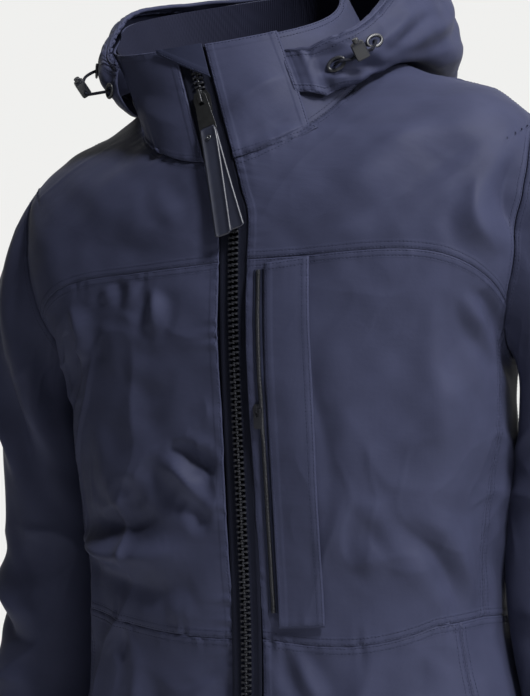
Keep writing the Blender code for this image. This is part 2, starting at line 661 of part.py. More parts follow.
def pocket_slider(slider_name, pull_name, frame, length):
    """Small slider riding over a pocket zip, with a hanging pull."""
    slider = add_object(slider_name, plate_mesh("slider", slider_outline(0.009, 0.014), 0.0024),
                        GUNMETAL, 0.35, 1.0)
    combine(slider, box_mesh("post", (0.0018, 0.0032, 0.0060), centre=(0, -0.0022, 0.0020)), "UNION")
    combine(slider, box_mesh("hole", (0.006, 0.0018, 0.0034), centre=(0, -0.0022, 0.0020)), "DIFFERENCE")
    slider.matrix_world = frame
    outline = rounded_outline(0.0072, length, 0.0018, 3, (0, PULL_BAR / 2 - length / 2))
    slot = rounded_outline(0.0030, 0.0060, 0.0006, 2, (0, -PULL_BAR / 2 - 0.0030))
    pull = add_object(pull_name, plate_mesh("pull", outline, 0.0009, (slot,)), GUNMETAL, 0.35, 1.0)
    pull.matrix_world = frame @ Matrix.Translation(POCKET_PULL_AXIS)


def build_hand_pockets():
    """Nearly upright zipped pockets in the skirt, each behind a flap on its outer side."""
    for side, word in ((-1, "right"), (1, "left")):
        skin = on_side(body, side)
        turn = mirrored if side < 0 else (lambda rows: rows)

        def at(share, extra, lift):
            level, degrees = 0.30 + 1.02 * share, 57.0 - 5.0 * share + extra
            point, across, up, out = surface_frame(skin, level, degrees)
            return point + out * lift * side

        rows = [[at(s, x, 0.0040) for x in (0.0, 2.8, 5.6)] for s in np.linspace(0, 1, 5)]
        panel("hand_pocket_flap_" + word, turn(rows), 0.0018)
        rows = [[at(s, x, 0.0026) for x in (-2.8, -1.0)] for s in np.linspace(0.04, 0.96, 5)]
        panel("hand_pocket_zip_" + word, turn(rows), 0.0016, BLACK, smooth=False)
        along = at(0.9, -1.9, 0) - at(0.1, -1.9, 0)
        inward = at(0.88, -2.6, 0) - at(0.88, -1.2, 0)
        pocket_slider("hand_pocket_slider_" + word, "hand_pocket_pull_" + word,
                      frame_matrix(at(0.88, -1.9, 0.0064), inward * -side, along),
                      HAND_PULL_LENGTH)


def build_hood_fastenings():
    """Eyelets, drawcord loops and spring cord locks on both sides of the hood."""
    for side, word in ((-1, "right"), (1, "left")):
        skin = on_side(hood, side)
        ends = []
        for place, (angle, level) in EYELETS[side].items():
            point, across, up, out = surface_frame(skin, level, angle)
            out = out if out.dot(Vector((point.x, point.y, 0))) > 0 else -out
            tilt = (across + up * 0.35 * side).normalized()
            bpy.ops.mesh.primitive_torus_add(major_segments=20, minor_segments=6,
                                             major_radius=0.0068, minor_radius=0.0012)
            ring = bpy.context.object
            ring.name = "temporary_ring"
            mesh = ring.data
            mesh.transform(Matrix.Diagonal((1.45, 0.85, 1.0, 1.0)))
            eyelet = add_object("hood_eyelet_{}_{}".format(place, word), mesh.copy(), BLACK, 0.4)
            bpy.data.objects.remove(ring, do_unlink=True)
            eyelet.data.shade_smooth()
            x, z = tilt, out
            y = z.cross(x).normalized()
            x = y.cross(z)
            turn = Matrix((x, y, z)).transposed().to_4x4()
            eyelet.matrix_world = Matrix.Translation(point + out * 0.0026) @ turn
            ends.append((point, out, tilt, up))
        cord_and_lock(side, word, ends)


def cord_and_lock(side, word, ends):
    (front, front_out, _, _), (back, back_out, _, up) = ends
    reach = 0.022 if side < 0 else 0.014
    middle = front.lerp(back, 0.62)
    out = (front_out + back_out).normalized()
    if side < 0:
        out = Vector((-0.80, -0.30, -0.52)).normalized()
    else:
        out = (out + Vector((0, 0, -0.55))).normalized()
    centre = middle + out * reach
    along = (back - front).normalized()
    along = (along - out * along.dot(out)).normalized()
    plunge = out.cross(along) * side
    mouth, clear = LOCK_SIZE[0] / 2 + 0.0008, LOCK_SIZE[0] / 2 + 0.0045
    start, finish = front + front_out * 0.0030, back + back_out * 0.0030
    enter, leave = centre - along * clear, centre + along * clear
    route = [start, start.lerp(enter, 0.4) + front_out * 0.005, enter, centre - along * mouth,
             centre + along * mouth, leave, finish.lerp(leave, 0.4) + back_out * 0.005, finish]
    points = smooth_route(route)
    curve = bpy.data.curves.new("hood_cord_" + word, "CURVE")
    curve.dimensions = "3D"
    curve.bevel_depth = CORD_DIAMETER / 2
    curve.bevel_resolution = 2
    curve.use_fill_caps = True
    spline = curve.splines.new("POLY")
    spline.points.add(len(points) - 1)
    for item, point in zip(spline.points, points):
        item.co = (*point, 1.0)
    cord = bpy.data.objects.new("hood_cord_" + word, curve)
    curve.materials.append(material("cord_" + word, BLACK, 0.7))
    PARTS.objects.link(cord)

    frame = Matrix((along, plunge.cross(along), plunge)).transposed().to_4x4()
    frame = Matrix.Translation(centre - plunge * CORD_HOLE_HEIGHT) @ frame
    lock = add_object("cord_lock_" + word, box_mesh("cord_lock", LOCK_SIZE, 0.0022), BLACK, 0.4)
    combine(lock, round_mesh("cord_hole", CORD_DIAMETER / 2 + 0.0005, 0.03,
                             (0, 0, CORD_HOLE_HEIGHT), "X", 16), "DIFFERENCE")
    combine(lock, round_mesh("plunger_bore", LOCK_BORE, 0.008, (0, 0, 0.0065)), "DIFFERENCE")
    lock.matrix_world = frame
    button = add_object("cord_lock_button_" + word,
                        round_mesh("button", PLUNGER, 0.0066, (0, 0, 0.0), bevel=0.0006), BLACK, 0.4)
    button.matrix_world = frame @ Matrix.Translation((0, 0, BUTTON_HEIGHT))


def smooth_route(route):
    """Points every two diameters or so along a smooth curve through the route."""
    rows = [tuple(point) for point in route]
    steps = 6 * (len(rows) - 1)
    return [Vector(interpolate(rows, step / 6)) for step in range(steps + 1)]


build_body()
build_lining()
build_sleeves()
build_collar()
build_hood()
build_main_zip()
build_slider()
build_chest_pocket()
build_hand_pockets()
build_hood_fastenings()
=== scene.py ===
"""Looks of the foul weather jacket: folded cloth, stitching, moulded zip teeth, hardware and light.

Everything is placed on the same lofted surfaces as the CAD part (body, collar, hood, sleeve), in its
frame and in metres. Each cut piece of cloth is its own dense sheet, and neighbouring sheets take
their folds from one shared field, so a fold runs on across a seam.
"""
import math

import bmesh
import bpy
import numpy as np
from mathutils import Matrix, Vector


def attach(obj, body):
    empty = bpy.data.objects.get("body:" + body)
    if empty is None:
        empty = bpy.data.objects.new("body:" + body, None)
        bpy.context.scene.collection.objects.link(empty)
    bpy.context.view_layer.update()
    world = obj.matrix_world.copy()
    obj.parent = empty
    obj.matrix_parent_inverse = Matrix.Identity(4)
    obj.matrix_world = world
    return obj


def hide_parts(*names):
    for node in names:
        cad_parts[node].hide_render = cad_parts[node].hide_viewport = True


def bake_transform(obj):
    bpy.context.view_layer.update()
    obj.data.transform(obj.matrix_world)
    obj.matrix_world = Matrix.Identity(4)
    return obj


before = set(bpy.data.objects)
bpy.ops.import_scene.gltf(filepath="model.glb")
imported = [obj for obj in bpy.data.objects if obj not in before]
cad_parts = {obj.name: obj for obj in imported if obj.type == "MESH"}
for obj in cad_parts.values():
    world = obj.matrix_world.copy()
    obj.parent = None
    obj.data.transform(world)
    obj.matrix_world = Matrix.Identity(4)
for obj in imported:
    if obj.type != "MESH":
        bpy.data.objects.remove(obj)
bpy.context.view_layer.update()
SIDES = (-1, "right"), (1, "left")         # the wearer's own sides, x growing to the left


# ---------------------------------------------------------------- the part's own surfaces
ZIP_OPENING = 0.0135
COLLAR_EDGE = {-1: 50.0, 1: 42.0}
HOOD_FRONT = {-1: 56.0, 1: 38.5}
HOOD_CENTRE = 38.0
TUCK = (66.0, 30.0, 0.007, 0.018, 0.012)   # hood's left end: start, blend, inset at foot, more, rise
HOOD_SLIP, HOOD_SLIP_END = 0.0065, 36.0    # the hood's end goes under the collar panel
HOOD_SLIP_START, HOOD_SLIP_BLEND = 45.0, 7.0
HOOD_SLOPE = 0.04
ARM_OUTLINE = (5.20, 1.15, 21.0)           # armhole: middle level, half height, half angle
ARM_TOP_LEAN, ARM_LEAN = 0.55, 0.12
ZIP_TOP = (-0.050, -0.098, 0.038)
ZIP_BEND = (0.000, -0.134, -0.115)


def throat_ring(side, front, back, half, back_y, square, slope, dip=1.6):
    share = (front - ZIP_BEND[2]) / (ZIP_TOP[2] - ZIP_BEND[2])
    shift, front_y = [ZIP_BEND[i] + share * (ZIP_TOP[i] - ZIP_BEND[i]) for i in (0, 1)]
    return (side, front, back, half, front_y, back_y, square, shift, slope, dip)


BODY_RINGS = np.array((
    (-0.745, -0.745, -0.760, 0.238, -0.150, 0.132, 2.4, 0.000, 0.00, 1.6),
    (-0.615, -0.620, -0.620, 0.226, -0.147, 0.120, 2.3, 0.000, 0.00, 1.6),
    (-0.490, -0.497, -0.490, 0.203, -0.137, 0.104, 2.2, 0.000, 0.00, 1.6),
    (-0.380, -0.385, -0.375, 0.215, -0.138, 0.116, 2.4, 0.000, 0.00, 1.6),
    (-0.255, -0.262, -0.245, 0.225, -0.142, 0.124, 2.4, 0.000, 0.00, 1.6),
    (-0.165, -0.200, -0.165, 0.258, -0.141, 0.127, 2.4, 0.000, 0.02, 1.6),
    (-0.066, -0.155, -0.092, 0.264, -0.137, 0.125, 2.4, 0.000, 0.04, 1.6),
    throat_ring(-0.020, -0.115, -0.040, 0.226, 0.118, 2.3, 0.055),
    throat_ring(0.004, -0.090, -0.002, 0.166, 0.104, 2.1, 0.055),
    throat_ring(0.032, -0.062, 0.036, 0.116, 0.086, 2.0, 0.050, 1.1),
))
COLLAR_RINGS = np.array((
    BODY_RINGS[-1],
    throat_ring(0.062, -0.006, 0.080, 0.117, 0.088, 2.0, 0.05, 1.0),
    throat_ring(0.092, 0.050, 0.122, 0.116, 0.092, 2.0, 0.05, 0.6),
))
HOOD_AXIS = (-0.018, -0.030)
HOOD_ANGLES = (50.0, 68.0, 90.0, 112.0, 140.0, 180.0)
HOOD_ROWS = np.array((
    ((0.124, -0.014), (0.129, 0.000), (0.132, 0.014), (0.132, 0.030), (0.129, 0.040)),
    ((0.127, 0.014), (0.140, 0.012), (0.150, 0.032), (0.146, 0.052), (0.138, 0.060)),
    ((0.128, 0.040), (0.154, 0.028), (0.168, 0.056), (0.160, 0.088), (0.142, 0.098)),
    ((0.123, 0.046), (0.178, 0.020), (0.195, 0.054), (0.184, 0.112), (0.154, 0.126)),
    ((0.110, 0.048), (0.176, -0.012), (0.206, 0.026), (0.192, 0.114), (0.152, 0.136)),
    ((0.098, 0.048), (0.168, -0.116), (0.212, -0.060), (0.190, 0.100), (0.144, 0.138)),
)).reshape(6, 10)
ARM_STATIONS = np.array((
    (0.2725, 0.036, -0.330, 0.0540, 0.066),
    (0.2715, 0.036, -0.430, 0.0555, 0.063),
    (0.2730, 0.020, -0.530, 0.0560, 0.060),
    (0.2850, 0.004, -0.625, 0.0510, 0.055),
    (0.2950, -0.010, -0.690, 0.0470, 0.051),
))
CUFF_STATION, LAST_STATION = 4.25, 5.0
SIDE_SEAM, SKIRT_SEAM, WAIST_LEVEL, NECK_LEVEL = 77.0, 62.0, 2.0, 9.0
RIM_LEVEL = 3.66


def hermite(f, a, b, slope_a, slope_b):
    """Blend from a to b, leaving and arriving with these slopes."""
    return ((2 * f**3 - 3 * f**2 + 1) * a + (f**3 - 2 * f**2 + f) * slope_a
            + (3 * f**2 - 2 * f**3) * b + (f**3 - f**2) * slope_b)


def rows_at(table, level):
    """Smooth curve through a table's rows, at an array of fractional row numbers."""
    level = np.clip(np.asarray(level, float), 0.0, len(table) - 1.0)
    i = np.minimum(level.astype(int), len(table) - 2)
    slopes = np.gradient(table, axis=0)
    return hermite((level - i)[..., None], table[i], table[i + 1], slopes[i], slopes[i + 1])


def ring_points(rows, degrees):
    side, front, back, half, front_y, back_y, square, shift, slope, dip = np.moveaxis(rows, -1, 0)
    angle = np.radians(degrees)
    s, c = np.sin(angle), np.cos(angle)
    x = np.sign(s) * half * np.abs(s) ** (2 / square)
    reach, turn = np.abs(c) ** (2 / square), np.abs(c) ** dip
    y = np.where(c > 0, front_y, back_y) * reach
    z = side + (np.where(c > 0, front, back) - side) * turn
    return np.stack([x + shift, y, z + slope * x], -1)


def body(level, degrees):
    return ring_points(rows_at(BODY_RINGS, level), degrees)


def collar(level, degrees):
    return ring_points(rows_at(COLLAR_RINGS, 2 * np.asarray(level, float)), degrees)


def hood(level, degrees):
    turned = (np.asarray(degrees, float) + 180) % 360 - 180
    rows = rows_at(HOOD_ROWS, np.interp(np.abs(turned), HOOD_ANGLES, range(len(HOOD_ANGLES))))
    rows = rows.reshape(rows.shape[:-1] + (5, 2))
    level = np.broadcast_to(np.asarray(level, float), turned.shape)
    i = np.minimum(level.astype(int), 3)
    slopes = np.gradient(rows, axis=-2)

    def pick(table, index):
        return np.take_along_axis(table, index[..., None, None], axis=-2)[..., 0, :]

    place = hermite((level - i)[..., None], pick(rows, i), pick(rows, i + 1), pick(slopes, i),
                    pick(slopes, i + 1))
    reach, height = place[..., 0], place[..., 1]
    end, blend, low, more, raised = TUCK
    share = np.where(turned > 0, smooth(end - turned, 0, blend), 0.0)
    reach = reach - share * (low + more * np.minimum(level / 3, 1.0))
    height = height + share * raised * (1 - level / 4)
    slip = smooth(HOOD_SLIP_START - turned, 0, HOOD_SLIP_BLEND) * (turned > 0)
    reach = reach - HOOD_SLIP * slip
    s, c = np.sin(np.radians(turned)), np.cos(np.radians(turned))
    axis = HOOD_AXIS[0] + (HOOD_AXIS[1] - HOOD_AXIS[0]) * level / 4
    return np.stack([axis + reach * s, -reach * c, height + HOOD_SLOPE * reach * s], -1)


def armhole_place(turn, side):
    """Level and degrees on the body, at a turn round the armhole."""
    middle, half, angle = ARM_OUTLINE
    turn = np.radians(turn)
    return middle + half * np.cos(turn), side * (90 - angle * np.sin(turn))


def sleeve(station, turn, side):
    station, turn = np.broadcast_arrays(np.asarray(station, float), np.asarray(turn, float))
    s, c = np.sin(np.radians(turn)), np.cos(np.radians(turn))

    def ring(rows, lean):
        out, back, height, across, deep = np.moveaxis(rows, -1, 0)
        return np.stack([side * (out + across * c), back - deep * s, height + lean * across * c], -1)

    lean = ARM_LEAN + (ARM_TOP_LEAN - ARM_LEAN) * (1 - np.clip(station - 1, 0, 1))
    lower = ring(rows_at(ARM_STATIONS, station - 1), lean)
    first = ring(np.broadcast_to(ARM_STATIONS[0], station.shape + (5,)), ARM_TOP_LEAN)
    second = ring(np.broadcast_to(ARM_STATIONS[1], station.shape + (5,)), ARM_LEAN)
    away = np.stack([side * (0.10 + 0.06 * c), 0 * c, -0.10 - 0.05 * c], -1)
    upper = hermite(np.clip(station, 0, 1)[..., None], body(*armhole_place(turn, side)), first, away,
                    (second - first) * 1.25)
    return np.where((station >= 1)[..., None], lower, upper)


# ---------------------------------------------------------------- small mathematics
def unit(v):
    return v / np.maximum(np.linalg.norm(v, axis=-1, keepdims=True), 1e-12)


def smooth(value, low, high):
    t = np.clip((value - low) / (high - low), 0.0, 1.0)
    return t * t * (3 - 2 * t)


class Waves:
    """Smooth seeded noise: a sum of plane waves around one wavelength."""

    def __init__(self, seed, wavelength, count=14, stretch=(1, 1, 1)):
        rng = np.random.default_rng(seed)
        direction = unit(rng.normal(size=(count, 3))) * np.array(stretch)
        self.k = direction * 2 * math.pi / (wavelength * rng.uniform(0.7, 1.5, (count, 1)))
        self.phase = rng.uniform(0, 2 * math.pi, count)
        self.scale = math.sqrt(2.0 / count)

    def __call__(self, points):
        return np.sin(points @ self.k.T + self.phase).sum(-1) * self.scale


WARP = [Waves(seed, 0.16) for seed in (11, 12, 13)]
BROAD, MIDDLE = Waves(21, 0.30), Waves(22, 0.11)
FINE = Waves(23, 0.035)
CREASE_LONG, CREASE_SHORT = Waves(31, 0.105, 10, (1, 1, 0.55)), Waves(32, 0.052, 12, (1, 1, 0.7))
PATCHES = Waves(33, 0.16)


def warped(points, amount=0.007):
    return points + amount * np.stack([w(points) for w in WARP], -1)


def creases(points):
    """Thin ridges that wander over the cloth and fade in and out, as a share of their height."""
    moved = warped(points, 0.012)
    fade = smooth(PATCHES(points), -0.4, 0.9)
    long_ones = np.clip(1 - np.abs(CREASE_LONG(moved)) * 1.1, 0, 1) ** 2
    short_ones = np.clip(1 - np.abs(CREASE_SHORT(moved)) * 1.2, 0, 1) ** 2
    return long_ones * (0.4 + 0.6 * fade) + 0.35 * short_ones * fade


def line_distance(points, line):
    """Distance from each point to a polyline, and the share of the way along it."""
    line = np.asarray(line, float)
    steps = np.linalg.norm(np.diff(line, axis=0), axis=1)
    ends = np.concatenate([[0], np.cumsum(steps)])
    best, along = np.full(len(points), 9.0), np.zeros(len(points))
    for a, b, start, length in zip(line, line[1:], ends, steps):
        way = (b - a) / max(length, 1e-9)
        t = np.clip((points - a) @ way, 0, length)
        d = np.linalg.norm(points - a - t[:, None] * way, axis=1)
        near = d < best
        best = np.where(near, d, best)
        along = np.where(near, (start + t) / ends[-1], along)
    return best, along


def curved(line, count=14):
    """A polyline's smooth version."""
    line = np.asarray(line, float)
    return rows_at(line, np.linspace(0, len(line) - 1, count)) if len(line) > 2 else line


FOLD_TAPER, FOLD_GAIN = 0.4, 2.0
FOLD_SHARPNESS, CREST_ROUNDING, CREST_HEIGHT = 1.3, 0.10, 0.316      # height: about the root of rounding


class Fold:
    """One ridge (height above zero) or valley, tapering to its ends, on a surface grid."""

    def __init__(self, line, width, height, flank):
        self.line, self.width, self.height, self.flank = line, width, height, flank

    def __call__(self, points):
        out = np.zeros(len(points))
        margin = self.width * 3.5
        low, high = self.line.min(0) - margin, self.line.max(0) + margin
        near = ((points > low) & (points < high)).all(1)
        if not near.any():
            return out
        d, along = line_distance(points[near], self.line)
        ends = smooth(np.minimum(along, 1 - along), 0, FOLD_TAPER)
        width = self.width * (0.55 + 0.45 * ends)
        away = np.sqrt((d / width) ** 2 + CREST_ROUNDING) - CREST_HEIGHT
        shape = np.exp(-FOLD_SHARPNESS * away)
        shape -= self.flank * np.exp(-((d - 1.9 * width) / width) ** 2)
        out[near] = self.height * ends * shape
        return out


def folds_from(table, line_of):
    """The folds of a table, each along its places on a surface."""
    return [Fold(line_of(places), width, height / 1000, flank) for width, height, flank, places in table]


def along_surface(surface):
    return lambda places: curved([surface(*place) for place in places])


# ---------------------------------------------------------------- where the folds lie
GRID_LEVELS, GRID_DEGREES = np.meshgrid(np.linspace(0, 9, 260), np.linspace(-180, 180, 361),
                                        indexing="ij")
BODY_GRID = body(GRID_LEVELS, GRID_DEGREES).reshape(-1, 3)
FRONT_GRID = BODY_GRID[np.abs(GRID_DEGREES).ravel() < 92]
BACK_GRID = BODY_GRID[np.abs(GRID_DEGREES).ravel() > 88]


def on_body(line, back=False):
    """The body's points at these places, given as (x, z) seen from the front or the back."""
    found = []
    grid = BACK_GRID if back else FRONT_GRID
    for x, z in line:
        found.append(grid[((grid[:, [0, 2]] - (x, z)) ** 2).sum(1).argmin()])
    return curved(found)


# (width, height, flank, places): heights in millimetres, above zero for a ridge
FRONT_FOLDS = (
    # wearer's right chest: short drops under the yoke, then the crumple above the waist
    (0.012, 4.5, .3, ((-.180, -.178), (-.166, -.203), (-.165, -.232), (-.176, -.262))),
    (0.014, -5.0, .2, ((-.178, -.212), (-.186, -.255), (-.196, -.300))),
    (0.010, -2.6, .3, ((-.152, -.205), (-.140, -.232), (-.138, -.262))),
    (0.007, 1.6, .4, ((-.135, -.160), (-.128, -.188))),
    (0.006, -1.8, .3, ((-.122, -.160), (-.118, -.196))),
    (0.007, 1.8, .4, ((-.112, -.160), (-.107, -.200))),
    (0.007, -2.2, .4, ((-.101, -.170), (-.100, -.215))),
    (0.009, 2.4, .4, ((-.092, -.175), (-.082, -.222))),
    (0.010, 2.8, .4, ((-.125, -.225), (-.094, -.246), (-.058, -.236))),
    (0.013, -3.6, .2, ((-.104, -.250), (-.087, -.280), (-.094, -.318))),
    (0.010, -4.0, .3, ((-.078, -.308), (-.056, -.338), (-.022, -.358))),
    (0.011, 5.5, .3, ((-.082, -.318), (-.068, -.346), (-.048, -.371), (-.026, -.377))),
    (0.008, -3.6, .3, ((-.108, -.340), (-.103, -.388))),
    (0.008, -3.4, .3, ((-.054, -.375), (-.034, -.402))),
    (0.012, 2.6, .3, ((-.150, -.300), (-.128, -.335), (-.118, -.375))),
    (0.016, 7.5, .3, ((-.196, -.388), (-.158, -.414), (-.112, -.426), (-.074, -.420), (-.052, -.405))),
    (0.014, -5.0, .0, ((-.155, -.380), (-.118, -.398), (-.082, -.388))),
    (0.012, -3.0, .2, ((-.170, -.436), (-.110, -.452), (-.060, -.446))),
    (0.010, 2.0, .3, ((-.085, -.455), (-.052, -.462))),
    # under the yoke in the middle and up at the shoulder
    (0.030, 2.6, .0, ((-.190, -.060), (-.130, -.090), (-.085, -.130))),
    (0.024, -2.6, .0, ((-.170, -.110), (-.120, -.130), (-.060, -.150))),
    (0.010, 2.2, .3, ((-.092, -.070), (-.068, -.095), (-.056, -.125))),
    # wearer's left: long soft pulls at the shoulder, then drops beside the armhole
    (0.013, -3.2, .4, ((.085, -.122), (.139, -.104), (.186, -.078), (.232, -.044))),
    (0.020, 2.6, .0, ((.090, -.092), (.140, -.072), (.190, -.044))),
    (0.012, -5.5, .3, ((.250, -.060), (.246, -.115), (.247, -.170))),
    (0.011, 4.0, .3, ((.222, -.085), (.226, -.130), (.238, -.172))),
    (0.009, 4.5, .4, ((.206, -.190), (.213, -.214), (.226, -.246))),
    (0.009, -5.0, .3, ((.219, -.192), (.226, -.222), (.230, -.256))),
    (0.012, -3.6, .2, ((.192, -.186), (.194, -.236), (.206, -.288))),
    (0.020, 4.5, .0, ((.186, -.196), (.178, -.262), (.180, -.335), (.196, -.380))),
    (0.012, -2.4, .2, ((.078, -.200), (.079, -.330), (.076, -.450))),
    (0.013, -3.0, .4, ((.096, -.368), (.114, -.400), (.146, -.418))),
    (0.014, -3.6, .4, ((.148, -.388), (.176, -.430), (.184, -.486))),
    (0.012, 3.6, .2, ((.164, -.384), (.190, -.420), (.196, -.470))),
    (0.010, -3.0, .3, ((.182, -.382), (.204, -.420), (.204, -.470))),
    (0.010, 2.2, .3, ((.104, -.392), (.124, -.428), (.128, -.462))),
    (0.028, -2.6, .0, ((.212, -.340), (.200, -.430), (.194, -.490), (.200, -.560))),
    # below the waist
    (0.009, 2.6, .4, ((-.040, -.545), (-.024, -.505))),
    (0.009, 3.0, .4, ((-.062, -.575), (-.036, -.520))),
    (0.010, -3.0, .3, ((.012, -.505), (.028, -.540), (.052, -.575))),
    (0.010, 2.6, .3, ((.030, -.512), (.052, -.545), (.082, -.590))),
    (0.010, -2.4, .3, ((-.138, -.492), (-.143, -.535))),
    (0.014, 2.6, .2, ((-.115, -.500), (-.110, -.560), (-.118, -.620))),
    (0.016, -2.6, .2, ((-.085, -.520), (-.080, -.600))),
    (0.014, 2.4, .2, ((.120, -.500), (.112, -.560), (.120, -.640))),
    (0.012, -2.4, .2, ((.150, -.505), (.158, -.570))),
    (0.022, 3.0, .2, ((-.180, -.520), (-.190, -.600), (-.186, -.680))),
    (0.020, 2.6, .2, ((.060, -.610), (.072, -.680), (.070, -.740))),
    (0.020, -2.6, .2, ((-.050, -.620), (-.060, -.700))),
)
BACK_FOLDS = (
    (0.022, 4.0, .3, ((-.200, -.120), (-.150, -.190), (-.080, -.230))),
    (0.022, 4.0, .3, ((.205, -.115), (.150, -.180), (.085, -.225))),
    (0.016, -3.6, .3, ((-.190, -.220), (-.120, -.270), (-.050, -.290))),
    (0.016, -3.6, .3, ((.190, -.230), (.120, -.280), (.060, -.300))),
    (0.018, 4.5, .3, ((-.170, -.330), (-.090, -.380), (.010, -.390), (.090, -.370))),
    (0.014, -3.6, .3, ((-.120, -.410), (-.020, -.430), (.100, -.415), (.170, -.380))),
    (0.014, 3.6, .3, ((-.150, -.440), (-.060, -.462), (.060, -.458), (.150, -.430))),
    (0.020, 3.2, .3, ((-.090, -.540), (-.080, -.620), (-.095, -.730))),
    (0.020, 3.2, .3, ((.080, -.540), (.095, -.630), (.085, -.730))),
    (0.016, -2.8, .3, ((.000, -.150), (.004, -.230), (-.004, -.310))),
)
BODY_FOLDS = folds_from(FRONT_FOLDS, on_body)
BODY_FOLDS += folds_from(BACK_FOLDS, lambda places: on_body(places, True))


HAND_ZIP_LEVEL, HAND_ZIP_HEIGHT, HAND_ZIP_DEGREES, HAND_ZIP_SLANT = 0.30, 1.02, 57.0, 5.0


def hand_zip_line(share, side, extra=0.0):
    """The body's surface along a hand pocket's opening, and extra degrees beside it."""
    degrees = HAND_ZIP_DEGREES - HAND_ZIP_SLANT * share + extra
    return body(HAND_ZIP_LEVEL + HAND_ZIP_HEIGHT * share, side * degrees)


HAND_ZIP_LINES = [hand_zip_line(np.linspace(0, 1, 5), side, -1.9) for side in (-1, 1)]


def body_relief(points):
    """How far the worn cloth stands out from the smooth body, flatter beside the hand pocket zips."""
    sewn = sum(np.exp(-(line_distance(points, line)[0] / 0.022) ** 2) for line in HAND_ZIP_LINES)
    return worn_relief(points) * (1 - 0.9 * sewn)


CREASE_HEIGHT = 0.0042


def worn_relief(points):
    moved = warped(points)
    relief = FOLD_GAIN * sum(fold(moved) for fold in BODY_FOLDS)
    x, y, z = points.T
    side = smooth(np.abs(x), 0.14, 0.22)
    relief += 0.0020 * BROAD(points) + 0.0012 * MIDDLE(points) * (1 + side) + 0.0003 * FINE(points)
    low = smooth(-z, 0.42, 0.60)
    chest = smooth(-z, 0.17, 0.24) * (1 - smooth(-z, 0.47, 0.53))
    crumpled = 0.15 + 0.85 * chest * smooth(-x, -0.01, 0.04) + 0.35 * chest + 0.35 * low
    crumpled = np.where(y > 0, 0.6, crumpled)
    relief += CREASE_HEIGHT * crumpled * creases(points)
    return relief + 0.0012 * low * MIDDLE(points * (1, 1, 0.35))


# ---------------------------------------------------------------- materials
def node_material(name, colour, roughness, metallic=0.0, **inputs):
    made = bpy.data.materials.new(name)
    made.use_nodes = True
    shader = made.node_tree.nodes["Principled BSDF"]
    shader.inputs["Base Color"].default_value = (*colour, 1)
    shader.inputs["Roughness"].default_value = roughness
    shader.inputs["Metallic"].default_value = metallic
    for key, value in inputs.items():
        shader.inputs[key.replace("_", " ")].default_value = value
    return made, made.node_tree, shader


def add_node(tree, kind, **settings):
    node = tree.nodes.new("ShaderNode" + kind)
    for key, value in settings.items():
        if key in node.inputs:
            node.inputs[key].default_value = value
        else:
            setattr(node, key, value)
    return node


def add_noise(tree, coordinates, **settings):
    noise = add_node(tree, "TexNoise", **settings)
    tree.links.new(coordinates, noise.inputs["Vector"])
    return noise.outputs["Fac"]


def add_bump(tree, height, strength, distance, under=None):
    bump = add_node(tree, "Bump", Strength=strength, Distance=distance)
    tree.links.new(height, bump.inputs["Height"])
    if under is not None:
        tree.links.new(under, bump.inputs["Normal"])
    return bump.outputs["Normal"]


def vary_gloss(tree, shader, noise, low, high):
    gloss = add_node(tree, "MapRange", **{"To Min": low, "To Max": high})
    tree.links.new(noise, gloss.inputs["Value"])
    tree.links.new(gloss.outputs["Result"], shader.inputs["Roughness"])


def vary_colour(tree, shader, colour, coordinates, scale, spread):
    """Colour that drifts a little from place to place."""
    ramp = add_node(tree, "ValToRGB")
    for element, place, gain in zip(ramp.color_ramp.elements, (0.3, 0.7), (1 - spread, 1 + spread)):
        element.position, element.color = place, (*[c * gain for c in colour], 1)
    tree.links.new(add_noise(tree, coordinates, Scale=scale, Detail=5.0), ramp.inputs["Fac"])
    tree.links.new(ramp.outputs["Color"], shader.inputs["Base Color"])


def fabric(name, colour, roughness=0.52, period=0.0011, weave=0.22, crinkle=0.25, uv=True):
    """Woven cloth: crossing threads and a faint crinkle as bump, colour that drifts."""
    made, tree, shader = node_material(
        name, colour, roughness, Sheen_Weight=0.02, Sheen_Roughness=0.45,
        Sheen_Tint=(0.6, 0.65, 1.0, 1.0), Specular_IOR_Level=0.05)
    coordinates = add_node(tree, "TexCoord").outputs["UV" if uv else "Object"]
    vary_colour(tree, shader, colour, coordinates, 22.0, 0.10)
    cross = add_node(tree, "Math", operation="MULTIPLY")
    for direction, socket in zip("XY", cross.inputs):
        wave = add_node(tree, "TexWave", Scale=2 * math.pi / (20 * period), Distortion=0.6, Detail=1.0,
                        bands_direction=direction)
        tree.links.new(coordinates, wave.inputs["Vector"])
        tree.links.new(wave.outputs["Fac"], socket)
    grain = add_bump(tree, cross.outputs[0], weave, 0.00025)
    noise = add_noise(tree, coordinates, Scale=75.0, Detail=6.0, Roughness=0.6)
    tree.links.new(add_bump(tree, noise, crinkle, 0.0012, grain), shader.inputs["Normal"])
    vary_gloss(tree, shader, noise, roughness - 0.06, roughness + 0.07)
    return made


def moulded(name, colour, roughness=0.38, metallic=0.0, grain=0.25):
    """Plastic or plated metal with a fine moulded grain and handling marks."""
    made, tree, shader = node_material(name, colour, roughness, metallic)
    coordinates = add_node(tree, "TexCoord").outputs["Object"]
    vary_colour(tree, shader, colour, coordinates, 140.0, 0.15)
    noise = add_noise(tree, coordinates, Scale=900.0, Detail=4.0)
    tree.links.new(add_bump(tree, noise, grain, 0.0002), shader.inputs["Normal"])
    vary_gloss(tree, shader, noise, roughness - 0.1, roughness + 0.12)
    return made


